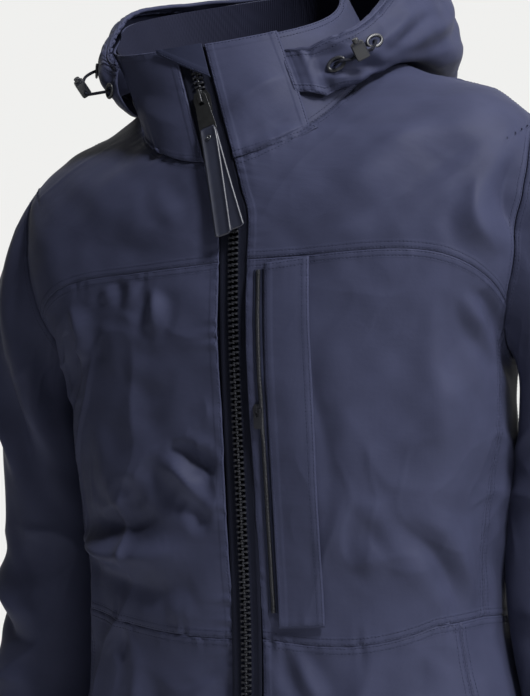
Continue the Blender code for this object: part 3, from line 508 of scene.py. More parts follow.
NAVY = (0.0316, 0.0350, 0.0655)
SHELL = fabric("shell_fabric", NAVY)
TRIM = fabric("trim_fabric", (0.019, 0.022, 0.043), 0.62, 0.0009, 0.3)
LINING = fabric("lining_mesh", (0.010, 0.011, 0.022), 0.8, 0.0022, 0.8, uv=False)
TAPE = fabric("zip_tape_weave", (0.0075, 0.0085, 0.016), 0.8, 0.0008, 0.7, crinkle=0.0)
THREAD = fabric("thread", (0.024, 0.028, 0.055), 0.5, 0.0005, 0.3, uv=False, crinkle=0.0)
CORD = fabric("cord_braid", (0.012, 0.013, 0.019), 0.6, 0.0009, 0.9, uv=False, crinkle=0.0)
PLASTIC = moulded("black_acetal", (0.012, 0.013, 0.018))
METAL = moulded("gunmetal", (0.115, 0.118, 0.125), 0.34, 1.0, 0.12)
DARK_METAL = moulded("blackened_metal", (0.022, 0.023, 0.030), 0.42, 0.6, 0.12)
RUBBER = moulded("strap_rubber", (0.012, 0.014, 0.026), 0.42, 0.0, 0.3)


# ---------------------------------------------------------------- making pieces
def new_object(name, mesh, mat, bodies="jacket", replaces=(), flat_shade=False):
    """A piece on the body of this name; a piece given the arguments of a blend instead is left on no body.
    """
    mesh.materials.clear()
    mesh.materials.append(mat)
    if not flat_shade:
        mesh.shade_smooth()
    made = bpy.data.objects.new(name, mesh)
    bpy.context.scene.collection.objects.link(made)
    if isinstance(bodies, str):
        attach(made, bodies)
    if replaces:
        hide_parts(*replaces)
    if not isinstance(bodies, str):
        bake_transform(made)
    return made


def mesh_of(name, points, faces, uv=None):
    mesh = bpy.data.meshes.new(name)
    if isinstance(faces, np.ndarray):
        mesh.vertices.add(len(points))
        mesh.vertices.foreach_set("co", np.asarray(points, np.float32).ravel())
        mesh.loops.add(faces.size)
        mesh.loops.foreach_set("vertex_index", faces.astype(np.int32).ravel())
        mesh.polygons.add(len(faces))
        mesh.polygons.foreach_set("loop_start", np.arange(0, faces.size, faces.shape[1], dtype=np.int32))
        mesh.update(calc_edges=True)
    else:
        mesh.from_pydata([tuple(p) for p in points], [], faces)
        mesh.update()
    if uv is not None:
        layer = mesh.uv_layers.new(name="UVMap")
        index = np.empty(len(mesh.loops), np.int32)
        mesh.loops.foreach_get("vertex_index", index)
        layer.data.foreach_set("uv", uv[index].astype(np.float32).ravel())
    return mesh


def grid_faces(tall, wide, closed=False):
    i, j = np.meshgrid(np.arange(tall - 1), np.arange(wide if closed else wide - 1), indexing="ij")
    k = (j + 1) % wide
    return np.stack([i * wide + j, i * wide + k, (i + 1) * wide + k, (i + 1) * wide + j],
                    -1).reshape(-1, 4)


def thickened(points, normals, thickness, closed=False):
    """Front and back sheets of a grid with their rims closed, as points and faces."""
    tall, wide = points.shape[:2]
    count = tall * wide
    front = grid_faces(tall, wide, closed)
    back = front[:, ::-1] + count
    index = np.arange(count).reshape(tall, wide)
    rims = [index[0], index[-1][::-1]]
    if closed:
        rims = [np.append(rim, rim[0]) for rim in rims]
    else:
        rims = [np.concatenate([index[0], index[1:, -1], index[-1][::-1][1:], index[::-1, 0][1:]])]
    sides = [np.stack([rim[1:], rim[:-1], rim[:-1] + count, rim[1:] + count], -1) for rim in rims]
    everything = np.concatenate([points.reshape(-1, 3), (points - normals * thickness).reshape(-1, 3)])
    return everything, np.concatenate([front, back] + sides)


def grid_normals(points, closed=False):
    if closed:
        wrapped = np.concatenate([points[:, -1:], points, points[:, :1]], 1)
        across = np.gradient(wrapped, axis=1)[:, 1:-1]
    else:
        across = np.gradient(points, axis=1)
    return unit(np.cross(across, np.gradient(points, axis=0)))


def run_lengths(points, axis):
    steps = np.linalg.norm(np.diff(points, axis=axis), axis=-1)
    zero = np.zeros_like(np.take(steps, [0], axis))
    return np.concatenate([zero, np.cumsum(steps, axis)], axis)


SEAM, HEM, CUT = "seam", "hem", "cut"
STITCH_OFFSETS = {SEAM: (0.0018, 0.0064), HEM: (0.0250,), CUT: (0.0020,), None: ()}
STITCH_SPACING, SHORTEST_RUN, LONGEST_JUMP = 0.0034, 0.012, 0.02
PUCKER_GAIN = 1.5
STITCHES = {}


def edge_relief(distance, along, kind, pucker, seed):
    """Turned edge of a panel, its double layer and the small gathers that its stitching makes."""
    if kind is None:
        return 0.0
    out = -0.0009 * np.exp(-(distance / 0.0008) ** 2)
    out = out + 0.00035 * (1 - smooth(distance, 0.0068, 0.0088))
    if kind == HEM:
        out = out + 0.0005 * (1 - smooth(distance, 0.0265, 0.0285))
    for place in STITCH_OFFSETS[kind]:
        out = out - 0.0003 * np.exp(-((distance - place) / 0.0007) ** 2)
    if pucker:
        rng = np.random.default_rng(seed)
        wave = sum(np.sin(2 * math.pi * along / length + rng.uniform(0, 6.28))
                   for length in (0.0105, 0.0143, 0.0210)) / 2
        mask = 0.35 + 0.65 * np.clip(np.sin(2 * math.pi * along / 0.083 + rng.uniform(0, 6.28)), 0, 1)
        reach = 0.011 * (0.7 + 0.3 * np.sin(along / 0.013))
        gathers = PUCKER_GAIN * pucker * wave * mask * np.exp(-distance / reach)
        out = out + gathers * smooth(distance, 0, 0.002)
    return out


def values_at(places, run, values):
    return np.stack([np.interp(places, run, values[:, i]) for i in range(3)], -1)


def stitch_run(line, normals, bodies):
    """Thread stitches along a line of points on the cloth."""
    run = run_lengths(line, 0)
    if run[-1] < SHORTEST_RUN:
        return
    jump = np.linalg.norm(np.diff(line, axis=0), axis=1)
    if jump.max() > LONGEST_JUMP:
        cut = int(jump.argmax()) + 1
        stitch_run(line[:cut], normals[:cut], bodies)
        stitch_run(line[cut:], normals[cut:], bodies)
        return
    centres = np.arange(0.004, run[-1] - 0.003, STITCH_SPACING)
    at = values_at(centres, run, line)
    way = unit(values_at(centres + 0.0006, run, line) - at)
    STITCHES.setdefault(bodies, []).append((at, way, unit(values_at(centres, run, normals))))


def make_stitches(bodies):
    """One mesh of all the stitches that go with a body, or with a piece given the arguments of a blend,
    which is left on no body.
    """
    at, way, out = (np.concatenate([part[i] for part in STITCHES[bodies]]) for i in range(3))
    side = np.cross(way, out)
    length, width, rise = 0.00125, 0.00030, 0.00030
    corners = (-way * length - out * 0.0002, side * width - way * 0.0006, out * rise - way * 0.0005,
               -side * width - way * 0.0006, side * width + way * 0.0006, out * rise + way * 0.0005,
               -side * width + way * 0.0006, way * length - out * 0.0002)
    points = np.stack([at + corner for corner in corners], 1).reshape(-1, 3)
    shape = np.array(((0, 2, 1), (0, 3, 2), (1, 2, 5), (1, 5, 4), (2, 3, 6), (2, 6, 5), (4, 5, 7),
                      (5, 6, 7), (0, 1, 3), (1, 4, 3), (3, 4, 6), (4, 7, 6)))
    faces = (np.arange(len(at))[:, None, None] * 8 + shape[None]).reshape(-1, 3)
    name = "stitching_" + (bodies if isinstance(bodies, str) else bodies[1] + "_seam")
    new_object(name, mesh_of(name, points, faces), THREAD, bodies, flat_shade=True)


def edge_line(points, normals, distance, place, offset):
    """Points and normals at one distance inside an edge of a grid, where the grid is that wide."""
    if place in ("bottom", "top"):
        points, normals, distance = points.swapaxes(0, 1), normals.swapaxes(0, 1), distance.T
    if place in ("right", "top"):
        points, normals, distance = points[:, ::-1], normals[:, ::-1], distance[:, ::-1]
    wide = distance[:, -1] > 3 * offset
    points, normals, distance = points[wide], normals[wide], distance[wide]
    after = (distance < offset).sum(1)
    rows = np.arange(len(points))
    before = np.maximum(after - 1, 0)
    near, far = distance[rows, before], distance[rows, after]
    f = ((offset - near) / np.maximum(far - near, 1e-9))[:, None]
    return (points[rows, before] * (1 - f) + points[rows, after] * f,
            unit(normals[rows, before] * (1 - f) + normals[rows, after] * f))


NARROWEST_SHEET = 0.0101


def declare_sheet(made, points, thickness, closed=False):
    """Work out a sheet's flat size from its widest rows and columns and its turned edges; the sizes are not
    passed on."""
    around = points.shape[1] / (points.shape[1] - 1) if closed else 1.0
    width = float(run_lengths(points, 1)[:, -1].max()) * around + thickness
    length = float(run_lengths(points, 0)[-1].max()) + thickness
    width = max(width, NARROWEST_SHEET)


def cloth(name, node, base, relief, edges, mat=SHELL, bodies="jacket", thickness=0.0012,
          lift=0.0, closed=False, pucker=(0, 0, 0, 0), seed=1):
    """A cut piece of cloth: base grid (rows upwards), relief and turned, stitched edges.

    base is points, or points and normals. edges and pucker give left, right, bottom and top.
    bodies is a name, or the arguments of a blend between two bodies, for a piece that is then left on no
    body."""
    base, normals = base if isinstance(base, tuple) else (base, grid_normals(base, closed))
    across, up = run_lengths(base, 1), run_lengths(base, 0)
    distances = across, across[:, -1:] - across, up, up[-1:] - up
    along = up, up, across, across
    height = relief(base.reshape(-1, 3)).reshape(base.shape[:2]) + lift
    for i in range(4):
        height = height + edge_relief(distances[i], along[i], edges[i], pucker[i], seed * 7 + i)
    points = base + normals * height[..., None]
    outward = grid_normals(points, closed)
    everything, faces = thickened(points, outward, thickness, closed)
    middle = across.shape[1] // 2
    uv = np.stack([across - across[:, middle:middle + 1], up + base[:1, :, 2]], -1).reshape(-1, 2)
    mesh = mesh_of(name, everything, faces, np.concatenate([uv, uv]))
    made = new_object(name, mesh, mat, bodies, (node,))
    for place, kind, distance in zip(("left", "right", "bottom", "top"), edges, distances):
        for offset in STITCH_OFFSETS[kind]:
            line, out = edge_line(points, outward, distance, place, offset)
            if len(line) > 4:
                stitch_run(line + out * 0.00015, out, bodies)
    declare_sheet(made, points, thickness, closed)
    if relief is body_relief:
        keep_for_lining(points, normals)


LINING_STEP, LINING_DEPTH, LINING_THICKNESS = 4, 0.0100, 0.0008
LINING_PARTS = []


def keep_for_lining(points, outward):
    """The lining follows the shell's folds, a little way inside it."""
    kept = [np.unique(np.append(np.arange(0, n, LINING_STEP), n - 1)) for n in points.shape[:2]]
    pick = np.ix_(*kept)
    LINING_PARTS.append((points[pick] - outward[pick] * LINING_DEPTH, outward[pick]))


def build_lining():
    everything, faces, count = [], [], 0
    for points, outward in LINING_PARTS:
        part, quads = thickened(points, outward, LINING_THICKNESS)
        everything.append(part)
        faces.append(quads + count)
        count += len(part)
    mesh = mesh_of("lining_cloth", np.concatenate(everything), np.concatenate(faces))
    made = new_object("lining_cloth", mesh, LINING, replaces=("body_lining",))


def towards_ends(count, pull=0.78):
    """Shares from 0 to 1 that lie closer together near both ends, where the sewn detail is."""
    t = np.linspace(0, 1, count + 1)
    return t - pull * np.sin(2 * math.pi * t) / (2 * math.pi)


def surface_normals(surface, level, degrees, turn=0.4, step=0.02):
    across = surface(level, degrees + turn) - surface(level, degrees - turn)
    up = surface(level + step, degrees) - surface(level - step, degrees)
    return unit(np.cross(across, up))


def panel_grid(surface, side, bottom, top, left, right, tall, wide):
    """Points and normals of a panel by rows, on the wearer's left or mirrored to the right."""
    s = towards_ends(wide)[None, :]
    t = towards_ends(tall)[:, None]
    level = bottom(s) + (top(s) - bottom(s)) * t
    start, finish = left(level), right(level)
    degrees = side * (start + (finish - start) * s)
    level = np.broadcast_to(level, degrees.shape)
    points, normals = surface(level, degrees), surface_normals(surface, level, degrees)
    return (points[:, ::-1], normals[:, ::-1]) if side < 0 else (points, normals)


def flipped(pair, side):
    """Left and right edge settings, swapped for a mirrored panel."""
    left, right, bottom, top = pair
    return (right, left, bottom, top) if side < 0 else pair


# ---------------------------------------------------------------- where the seams run
def edge_angle(rows, half):
    return np.degrees(np.arcsin(np.clip(half / rows[..., 3], 0, 1) ** (rows[..., 6] / 2)))


def zip_edge(level, half=ZIP_OPENING):
    lean = 1 + 0.10 * np.clip(np.asarray(level, float) - 6.0, 0.0, 1.0)
    return edge_angle(rows_at(BODY_RINGS, level), half * lean)


def collar_edge(level):
    return edge_angle(rows_at(COLLAR_RINGS, 2 * np.asarray(level, float)), ZIP_OPENING * 1.10)


def armhole_half(level):
    middle, half, angle = ARM_OUTLINE
    return angle * np.sqrt(np.maximum(0.0, 1 - ((level - middle) / half) ** 2))


def armhole_level(degrees_off):
    middle, half, angle = ARM_OUTLINE
    return middle - half * np.sqrt(np.maximum(0.0, 1 - (degrees_off / angle) ** 2))


def outer_edge(level, back=False):
    """Side seam, then armhole, then shoulder seam, from the front or from the back."""
    middle, half, angle = ARM_OUTLINE
    below, beside = (180 - SIDE_SEAM, 1) if back else (SIDE_SEAM, -1)
    at_arm = 90 + beside * armhole_half(level)
    low = np.maximum(below, at_arm) if back else np.minimum(below, at_arm)
    high = 90 + 12 * (level - middle - half) / (NECK_LEVEL - middle - half)
    return np.where(level > middle + half, high, np.where(level < middle, low, at_arm))


def yoke_front_level(share):
    return 6.0 - 0.55 * share - 0.90 * share ** 2


def yoke_back_level(share):
    return 5.55 - 0.35 * (2 * share - 1) ** 2


def waist_level(degrees, side):
    share = np.minimum(degrees / SIDE_SEAM, 1.0)
    rise = (0.26 * share ** 1.5 if side < 0
            else 0.04 * share - 0.09 * np.sin(math.pi * np.minimum(share * 1.5, 1.0)))
    fade = (180 - SIDE_SEAM - degrees) / (180 - 2 * SIDE_SEAM)
    return WAIST_LEVEL + rise * np.clip(fade, 0.0, 1.0)


def steady(value):
    return lambda given: np.full(np.shape(given), float(value))


# ---------------------------------------------------------------- shell
def body_panel(name, node, side, limits, count, kinds, pucker, seed):
    """A cut piece of the body: limits are its bottom and top levels, then its edges' degrees."""
    cloth("shell_" + name, node, panel_grid(body, side, *limits, *count), body_relief,
          flipped(kinds, side), pucker=flipped(pucker, side), seed=seed + side)


def build_shell():
    neck, hem, waist = steady(NECK_LEVEL), steady(0.0), steady(WAIST_LEVEL)
    sewn, hemmed = (SEAM, SEAM, SEAM, SEAM), (SEAM, SEAM, HEM, SEAM)
    for side, word in SIDES:
        def waist_from(first, last):
            return lambda s: waist_level(first + (last - first) * s, side)

        def below_armhole(s):
            return armhole_level(np.abs(2 * s - 1) * (90 - SIDE_SEAM)) - 0.01

        gather = 0.0013 if side < 0 else 0.0006
        seam, skirt_seam = (SIDE_SEAM, 180 - SIDE_SEAM), (SKIRT_SEAM, 180 - SKIRT_SEAM)
        body_panel("yoke_front_" + word, "yoke_front_" + word, side,
                   (yoke_front_level, neck, zip_edge, outer_edge), (110, 150),
                   (CUT, SEAM, SEAM, SEAM), (0.0006, 0.0003, 0.0002, 0.0009), 3)
        body_panel("chest_" + word, "chest_panel_" + word, side,
                   (waist_from(0, SIDE_SEAM), yoke_front_level, zip_edge, outer_edge), (210, 170),
                   (CUT, SEAM, SEAM, SEAM), (gather, 0.0004, 0.0008, 0.0006), 8)
        body_panel("side_" + word, "side_panel_" + word, side,
                   (waist_from(*seam), below_armhole, steady(seam[0]), steady(seam[1])), (120, 44),
                   sewn, (0, 0, 0, 0), 12)
        body_panel("skirt_front_" + word, "skirt_front_" + word, side,
                   (hem, waist_from(0, SKIRT_SEAM), zip_edge, steady(SKIRT_SEAM)), (130, 120),
                   (CUT, SEAM, HEM, SEAM), (0.0008, 0.0003, 0.0, 0.0009), 16)
        body_panel("skirt_side_" + word, "skirt_side_" + word, side,
                   (hem, waist_from(*skirt_seam), steady(skirt_seam[0]), steady(skirt_seam[1])),
                   (120, 90), hemmed, (0, 0, 0, 0.0006), 20)

    def behind(level):
        return outer_edge(level, True)

    def behind_left(level):
        return 360 - outer_edge(level, True)

    body_panel("yoke_back", "yoke_back", 1, (yoke_back_level, neck, behind, behind_left), (90, 170),
               sewn, (0.0003, 0.0003, 0.0004, 0.0004), 30)
    body_panel("back", "back_panel", 1, (waist, yoke_back_level, behind, behind_left), (140, 170),
               sewn, (0.0003, 0.0003, 0.0006, 0.0004), 31)
    body_panel("skirt_back", "skirt_back", 1,
               (hem, waist, steady(180 - SKIRT_SEAM), steady(180 + SKIRT_SEAM)), (110, 130),
               hemmed, (0, 0, 0, 0.0006), 32)


# ---------------------------------------------------------------- sleeves
# (width, height in mm, flank, (station, turn) places) on the wearer's left arm and on the right
SLEEVE_FOLDS = {
    1: ((0.015, -4.5, .3, ((.15, 60), (.55, 75), (1.0, 110), (1.4, 150))),
        (0.013, 4.5, .3, ((.10, 30), (.50, 45), (1.0, 70), (1.6, 100))),
        (0.014, -4.0, .3, ((1.3, 20), (1.7, 60), (2.0, 110))),
        (0.013, 4.5, .3, ((1.9, 0), (2.15, 50), (2.4, 110), (2.4, 160))),
        (0.012, -4.5, .3, ((2.3, 10), (2.55, 60), (2.75, 120))),
        (0.013, 4.0, .3, ((2.8, -20), (3.05, 40), (3.2, 110))),
        (0.012, -3.5, .3, ((3.3, -30), (3.5, 40), (3.7, 110))),
        (0.012, 3.5, .3, ((3.7, 0), (3.9, 60), (4.1, 120))),
        (0.014, -4.0, .3, ((.5, 250), (1.0, 230), (1.6, 200))),
        (0.014, 4.0, .3, ((1.8, 290), (2.2, 250), (2.6, 200)))),
    -1: ((0.014, -5.0, .3, ((.08, 62), (.45, 70), (.95, 92), (1.45, 128))),
         (0.015, 4.5, .3, ((.05, 95), (.40, 105), (.80, 122))),
         (0.013, 3.6, .3, ((.12, 20), (.50, 38), (1.0, 60), (1.6, 84))),
         (0.016, -3.5, .2, ((1.3, 40), (1.8, 66), (2.3, 100))),
         (0.013, 4.0, .3, ((2.0, -10), (2.3, 40), (2.6, 100))),
         (0.012, -4.0, .3, ((2.4, 0), (2.7, 50), (2.9, 110))),
         (0.013, 4.0, .3, ((2.9, -20), (3.15, 40), (3.3, 110))),
         (0.012, -3.5, .3, ((3.4, -30), (3.6, 40), (3.8, 110))),
         (0.014, -4.0, .3, ((.5, 250), (1.0, 230), (1.6, 200))),
         (0.014, 4.0, .3, ((1.8, 290), (2.2, 250), (2.6, 200)))),
}


ARMHOLE_BULGE = 0.008
SLEEVE_LEAN = {-1: 0.004, 1: 0.023}               # how far its inner side bulges to the body
SHOULDER_START, SHOULDER_END = (0.250, 0.0, -0.16), (0.320, 0.0, -0.22)    # where the arm's bend lies


def build_sleeves():
    for side, word in SIDES:
        folds = folds_from(SLEEVE_FOLDS[side], along_surface(lambda at, turn: sleeve(at, turn, side)))

        def relief(points):
            moved = warped(points)
            lower = smooth(-points[:, 2], 0.40, 0.62)
            out = FOLD_GAIN * sum(fold(moved) for fold in folds)
            out += 0.0030 * creases(points)
            return out + 0.0010 * BROAD(points) + (0.0008 + 0.0012 * lower) * MIDDLE(points)

        turns = np.linspace(0, 360, 181)[:-1]
        turns = turns[::-1] if side > 0 else turns
        start, end = (tuple(np.array(place) * (side, 1, 1)) for place in (SHOULDER_START, SHOULDER_END))
        arm = "jacket", "arm_" + word, start, end
        stations = (CUFF_STATION * (1 - towards_ends(230, 0.7)))[:, None]
        base = sleeve(stations, turns[None, :], side)
        hole = armhole_place(turns, side)
        sewn = surface_normals(body, *hole, turn=0.5) * body_relief(body(*hole))[:, None]
        free = smooth(stations, 0.0, 0.45)
        base = base + (1 - free)[..., None] * sewn[None]
        front = np.clip(np.sin(np.radians(turns)), 0, 1)[None, :]
        base[..., 1] -= ARMHOLE_BULGE * front * np.sin(math.pi * np.clip(stations, 0, 1)) ** 1.5
        inner = np.clip(-np.cos(np.radians(turns + 40)), 0, 1)[None, :] ** 4
        base[..., 0] -= side * SLEEVE_LEAN[side] * inner * np.exp(-((stations - 2.0) / 1.1) ** 2)
        weight = (free * np.ones_like(front)).ravel()
        cloth("shell_sleeve_" + word, "sleeve_" + word, base, lambda points: relief(points) * weight,
              (None, None, SEAM, SEAM), bodies=arm, closed=True, pucker=(0, 0, 0.0006, 0.0005),
              seed=41 + side)
        stations = np.linspace(LAST_STATION, CUFF_STATION, 34)[:, None]
        cloth("shell_cuff_" + word, "cuff_" + word, sleeve(stations, turns[None, :], side), relief,
              (None, None, HEM, SEAM), bodies="arm_" + word, closed=True, thickness=0.0022,
              pucker=(0, 0, 0.0004, 0.0004), seed=44 + side)
        tab_turns = np.linspace(-60, 50, 50)
        tab_turns = tab_turns[::-1] if side > 0 else tab_turns
        stations = np.linspace(CUFF_STATION + 0.58, CUFF_STATION + 0.16, 16)[:, None]
        cloth("shell_cuff_tab_" + word, "cuff_tab_" + word, sleeve(stations, tab_turns[None, :], side),
              relief, (CUT, CUT, CUT, CUT), TRIM, bodies="wrist_tab_" + word, lift=0.0036,
              thickness=0.0016, seed=47 + side)


# ---------------------------------------------------------------- collar
COLLAR_FOLDS = (
    (0.0055, 3.4, .5, ((.02, 9), (.03, 24), (-.03, 43))),
    (0.0080, -2.4, .0, ((.12, 4), (.16, 14), (.20, 26), (.18, 43))),
    (0.0110, 5.4, .0, ((.36, 4), (.44, 16), (.52, 30), (.50, 43))),
    (0.012, -1.8, .2, ((.55, -14), (.60, -34), (.70, -48))),
    (0.012, 1.8, .2, ((.30, -12), (.38, -32), (.45, -48))),
)


COLLAR_LEVEL_ON_BODY = 3.3        # body levels as tall as the collar's one level
COLLAR_LINING_DEPTH = 0.0036
STAND_FOLDS = (
    (0.007, 3.0, .5, ((.42, 46), (.34, 58), (.30, 76))),
    (0.006, -2.6, .4, ((.30, 46), (.22, 60), (.20, 78))),
    (0.007, 2.6, .5, ((.16, 46), (.12, 60), (.12, 76))),
    (0.008, -2.4, .4, ((.50, 48), (.46, 66), (.42, 90))),
)


def overhanging(level, degrees):
    """The collar's surface, carried on down the body below the collar's seam."""
    below = body(NECK_LEVEL + np.minimum(level, 0) * COLLAR_LEVEL_ON_BODY, degrees)
    return np.where((level < 0)[..., None], below, collar(np.maximum(level, 0), degrees))


def build_collar():
    folds, stand_folds = (folds_from(table, along_surface(collar)) for table in (COLLAR_FOLDS, STAND_FOLDS))

    def relief(points):
        return sum(fold(points) for fold in folds) + 0.0007 * MIDDLE(points)

    cloth("shell_collar_stand", "collar_stand",
          panel_grid(collar, 1, steady(0.0), steady(1.0), collar_edge, lambda v: 360 - collar_edge(v),
                     44, 220),
          lambda points: 0.0006 * MIDDLE(points) + sum(fold(points) for fold in stand_folds),
          (CUT, CUT, SEAM, SEAM), thickness=0.0022, pucker=(0, 0, 0.0005, 0.0002), seed=51)
    # Inner collar lining: a real lining in the dark lining colour, which also serves as painted shade for
    # the shade a wearer's neck would cast inside the collar.
    inner, normals = panel_grid(collar, 1, steady(0.06), steady(0.985), lambda v: collar_edge(v) + 1.0,
                                lambda v: 359 - collar_edge(v), 24, 120)
    strip("collar_lining", inner - normals * COLLAR_LINING_DEPTH, 0.0008, LINING)
    for side, word in SIDES:
        hang = 0.075 if side > 0 else 0.0
        cloth("shell_collar_" + word, "collar_panel_" + word,
              panel_grid(overhanging, side, lambda s: -hang * smooth(s, 0.15, 1.0), steady(1.0),
                         lambda v: collar_edge(np.maximum(v, 0)), steady(COLLAR_EDGE[side]), 90, 90),
              relief, flipped((CUT, CUT, SEAM, CUT), side), lift=0.0034, thickness=0.0018,
              pucker=flipped((0.0003, 0.0003, 0.0008, 0.0002), side), seed=55 + side)
    cloth("chin_guard_cloth", "chin_guard",
          panel_grid(collar, 1, lambda s: 0.97 - 0.27 * s, steady(1.0), steady(-17.0), steady(6.5),
                     40, 40),
          lambda points: 0.0003 * FINE(points), (CUT, None, CUT, None), TRIM, lift=0.0058,
          thickness=0.0011, seed=58)


# ---------------------------------------------------------------- hood
# (width, height in mm, flank, (level, degrees) places): degrees below zero on the wearer's right
HOOD_FOLDS = (
    (0.008, -3.4, .4, ((1.4, 45), (1.55, 56), (1.3, 68), (1.0, 80))),
    (0.008, 3.4, .4, ((1.0, 46), (1.1, 58), (.85, 70))),
    (0.007, -2.8, .4, ((2.5, 46), (2.75, 56), (2.85, 68))),
    (0.007, 2.6, .4, ((2.2, 60), (2.6, 72), (2.9, 86))),
    (0.007, -2.8, .4, ((1.8, 74), (2.3, 84), (2.7, 96))),
    (0.008, 3.0, .4, ((1.5, 80), (2.0, 92), (2.4, 104))),
    (0.008, -3.2, .4, ((1.2, 92), (1.8, 100), (2.4, 112), (2.8, 124))),
    (0.010, 3.4, .4, ((1.0, 102), (1.6, 110), (2.2, 122))),
    (0.009, -3.4, .4, ((.8, 116), (1.6, 122), (2.6, 132))),
    (0.007, 2.2, .4, ((2.9, 96), (3.2, 108), (3.4, 122))),
    (0.010, -3.2, .3, ((1.2, -62), (1.6, -76), (1.5, -92))),
    (0.009, 3.2, .3, ((2.4, -58), (2.7, -72), (2.6, -90))),
    (0.010, -3.4, .4, ((1.0, -96), (1.8, -104), (2.6, -120))),
    (0.010, 3.4, .4, ((.9, -112), (1.7, -120), (2.4, -134))),
    (0.013, -4.5, .3, ((.6, 150), (1.5, 156), (2.6, 160))),
    (0.013, 4.5, .3, ((.6, -150), (1.4, -158), (2.4, -164))),
    (0.016, 4.0, .3, ((1.2, 140), (1.1, 170), (1.2, -165), (1.4, -142))),
    (0.014, -4.0, .3, ((1.9, 138), (2.0, 165), (1.9, -170), (2.1, -140))),
    (0.010, -2.4, .3, ((3.0, 150), (3.1, 175), (3.0, -160))),
)


HOOD_CREASES = folds_from(HOOD_FOLDS, along_surface(hood))
HOOD_BAND = 74.0, 286.0           # degrees that the band inside the hood's foot spans


def hood_relief(points):
    moved = warped(points, 0.005)
    out = sum(fold(moved) for fold in HOOD_CREASES)
    out = 1.4 * out + 0.0010 * MIDDLE(points) + 0.0004 * FINE(points) + 0.0022 * creases(points)
    turned = np.degrees(np.arctan2(points[:, 0] - HOOD_AXIS[0], -points[:, 1]))
    return out * np.where(turned > 0, 1 - 0.95 * smooth(48.0 - turned, 0, 8.0), 1.0)


def build_hood():
    seam = 180 - HOOD_CENTRE
    foot, rim = steady(0.02), steady(RIM_LEVEL)
    for side, word in SIDES:
        start = HOOD_FRONT[-1] if side < 0 else HOOD_SLIP_END
        cloth("shell_hood_side_" + word, "hood_side_" + word,
              panel_grid(hood, side, foot, rim, steady(start), steady(seam), 150, 160),
              hood_relief, flipped((CUT, SEAM, SEAM, SEAM), side),
              pucker=flipped((0.0004, 0.0012, 0.0009, 0.0008), side), seed=61 + side)
    cloth("shell_hood_centre", "hood_centre",
          panel_grid(hood, 1, foot, rim, steady(seam), steady(360 - seam), 130, 110),
          hood_relief, (SEAM, SEAM, SEAM, SEAM), pucker=(0.0010, 0.0010, 0.0004, 0.0008), seed=64)
    degrees = np.linspace(*HOOD_BAND, 160)[None, :]
    lower = hood(np.full_like(degrees, 0.10), degrees)
    neck = collar(np.full_like(degrees, 0.06), degrees)
    share = np.linspace(0, 1, 6)[:, None, None]
    strip("hood_neck_band", neck + (lower - neck) * share, 0.0010, LINING)
    cloth("shell_hood_rim", "hood_rim",
          panel_grid(hood, 1, rim, steady(4.0), steady(HOOD_FRONT[1]), steady(360 - HOOD_FRONT[-1]),
                     16, 260),
          lambda points: hood_relief(points) * 0.5 + 0.0006, (CUT, CUT, SEAM, CUT), thickness=0.0036,
          pucker=(0, 0, 0.0010, 0.0002), seed=65)


# ---------------------------------------------------------------- main zip
def front_line(levels):
    """Zip's centre line: points and unit directions across, up and outwards."""
    levels = np.asarray(levels, float)

    def at(v):
        v = np.asarray(v, float)
        low = body(np.minimum(v, NECK_LEVEL), np.zeros(v.shape))
        high = collar(np.clip(v - NECK_LEVEL, 0, 1), np.zeros(v.shape))
        return np.where((v <= NECK_LEVEL)[..., None], low, high)

    ahead, behind = at(np.minimum(levels + 0.02, 10.0)), at(levels - 0.02)
    seam = (levels > NECK_LEVEL - 0.05) & (levels < NECK_LEVEL + 0.05) | (levels >= 9.98)
    straight = unit(collar(0.9, 0.0) - collar(0.5, 0.0))
    up = np.where(seam[..., None], straight, unit(ahead - behind))
    across = unit(np.array((1.0, 0, 0)) - up * up[..., :1])
    return at(levels), across, up, np.cross(across, up)


def resampled(bottom, top, spacing):
    """Levels on the front line at even steps of length."""
    levels = np.linspace(bottom, top, 1500)
    run = run_lengths(front_line(levels)[0], 0)
    count = int(run[-1] / spacing)
    return np.interp((np.arange(count) + 0.5) * run[-1] / count, run, levels)


def outward_mesh(name, *meshes):
    """One mesh of all these, with its faces turned outwards."""
    built = bmesh.new()
    for mesh in meshes:
        built.from_mesh(mesh)
    bmesh.ops.recalc_face_normals(built, faces=built.faces)
    whole = bpy.data.meshes.new(name)
    built.to_mesh(whole)
    built.free()
    return whole


TOOTH = ((.0050, -.00105), (.0050, .00105), (.0030, .00105), (.0016, .00070), (.0004, .00095),
         (-.0010, .00125), (-.0014, .0006), (-.0014, -.0006), (-.0010, -.00125), (.0004, -.00095),
         (.0016, -.00070), (.0030, -.00105))
TOOTH_SECTIONS = (0.62, 0.0026), (0.90, 0.0022), (1.0, 0.0014), (1.0, -0.0024)   # share, height
TOOTH_SPACING = 0.0050


def build_teeth(side, word):
    levels = resampled(0.26, 9.93, TOOTH_SPACING)
    offset = (levels[1] - levels[0]) / 4 * side
    point, across, up, out = front_line(levels + offset)
    outline = np.array(TOOTH) * (side, 1)
    centre, n = outline.mean(0), len(outline)
    rings = []
    for inset, front in TOOTH_SECTIONS:
        ring = centre + (outline - centre) * inset
        rings.append(point[:, None] + across[:, None] * ring[None, :, :1]
                     + up[:, None] * ring[None, :, 1:] + out[:, None] * front)
    points = np.stack(rings, 1)
    faces = [[r * n + i, r * n + (i + 1) % n, (r + 1) * n + (i + 1) % n, (r + 1) * n + i]
             for r in range(3) for i in range(n)]
    if side < 0:
        faces = [face[::-1] for face in faces]
    front_cap = list(range(n))[::-1] if side > 0 else list(range(n))
    back_cap = [3 * n + i for i in front_cap[::-1]]
    everything = [[4 * n * tooth + i for i in face] for tooth in range(len(levels))
                  for face in faces + [front_cap, back_cap]]
    mesh = outward_mesh("teeth", mesh_of("loose_teeth", points.reshape(-1, 3), everything))
    new_object("zip_teeth_" + word + "_moulded", mesh, PLASTIC,
               replaces=("zip_teeth_" + word,), flat_shade=True)


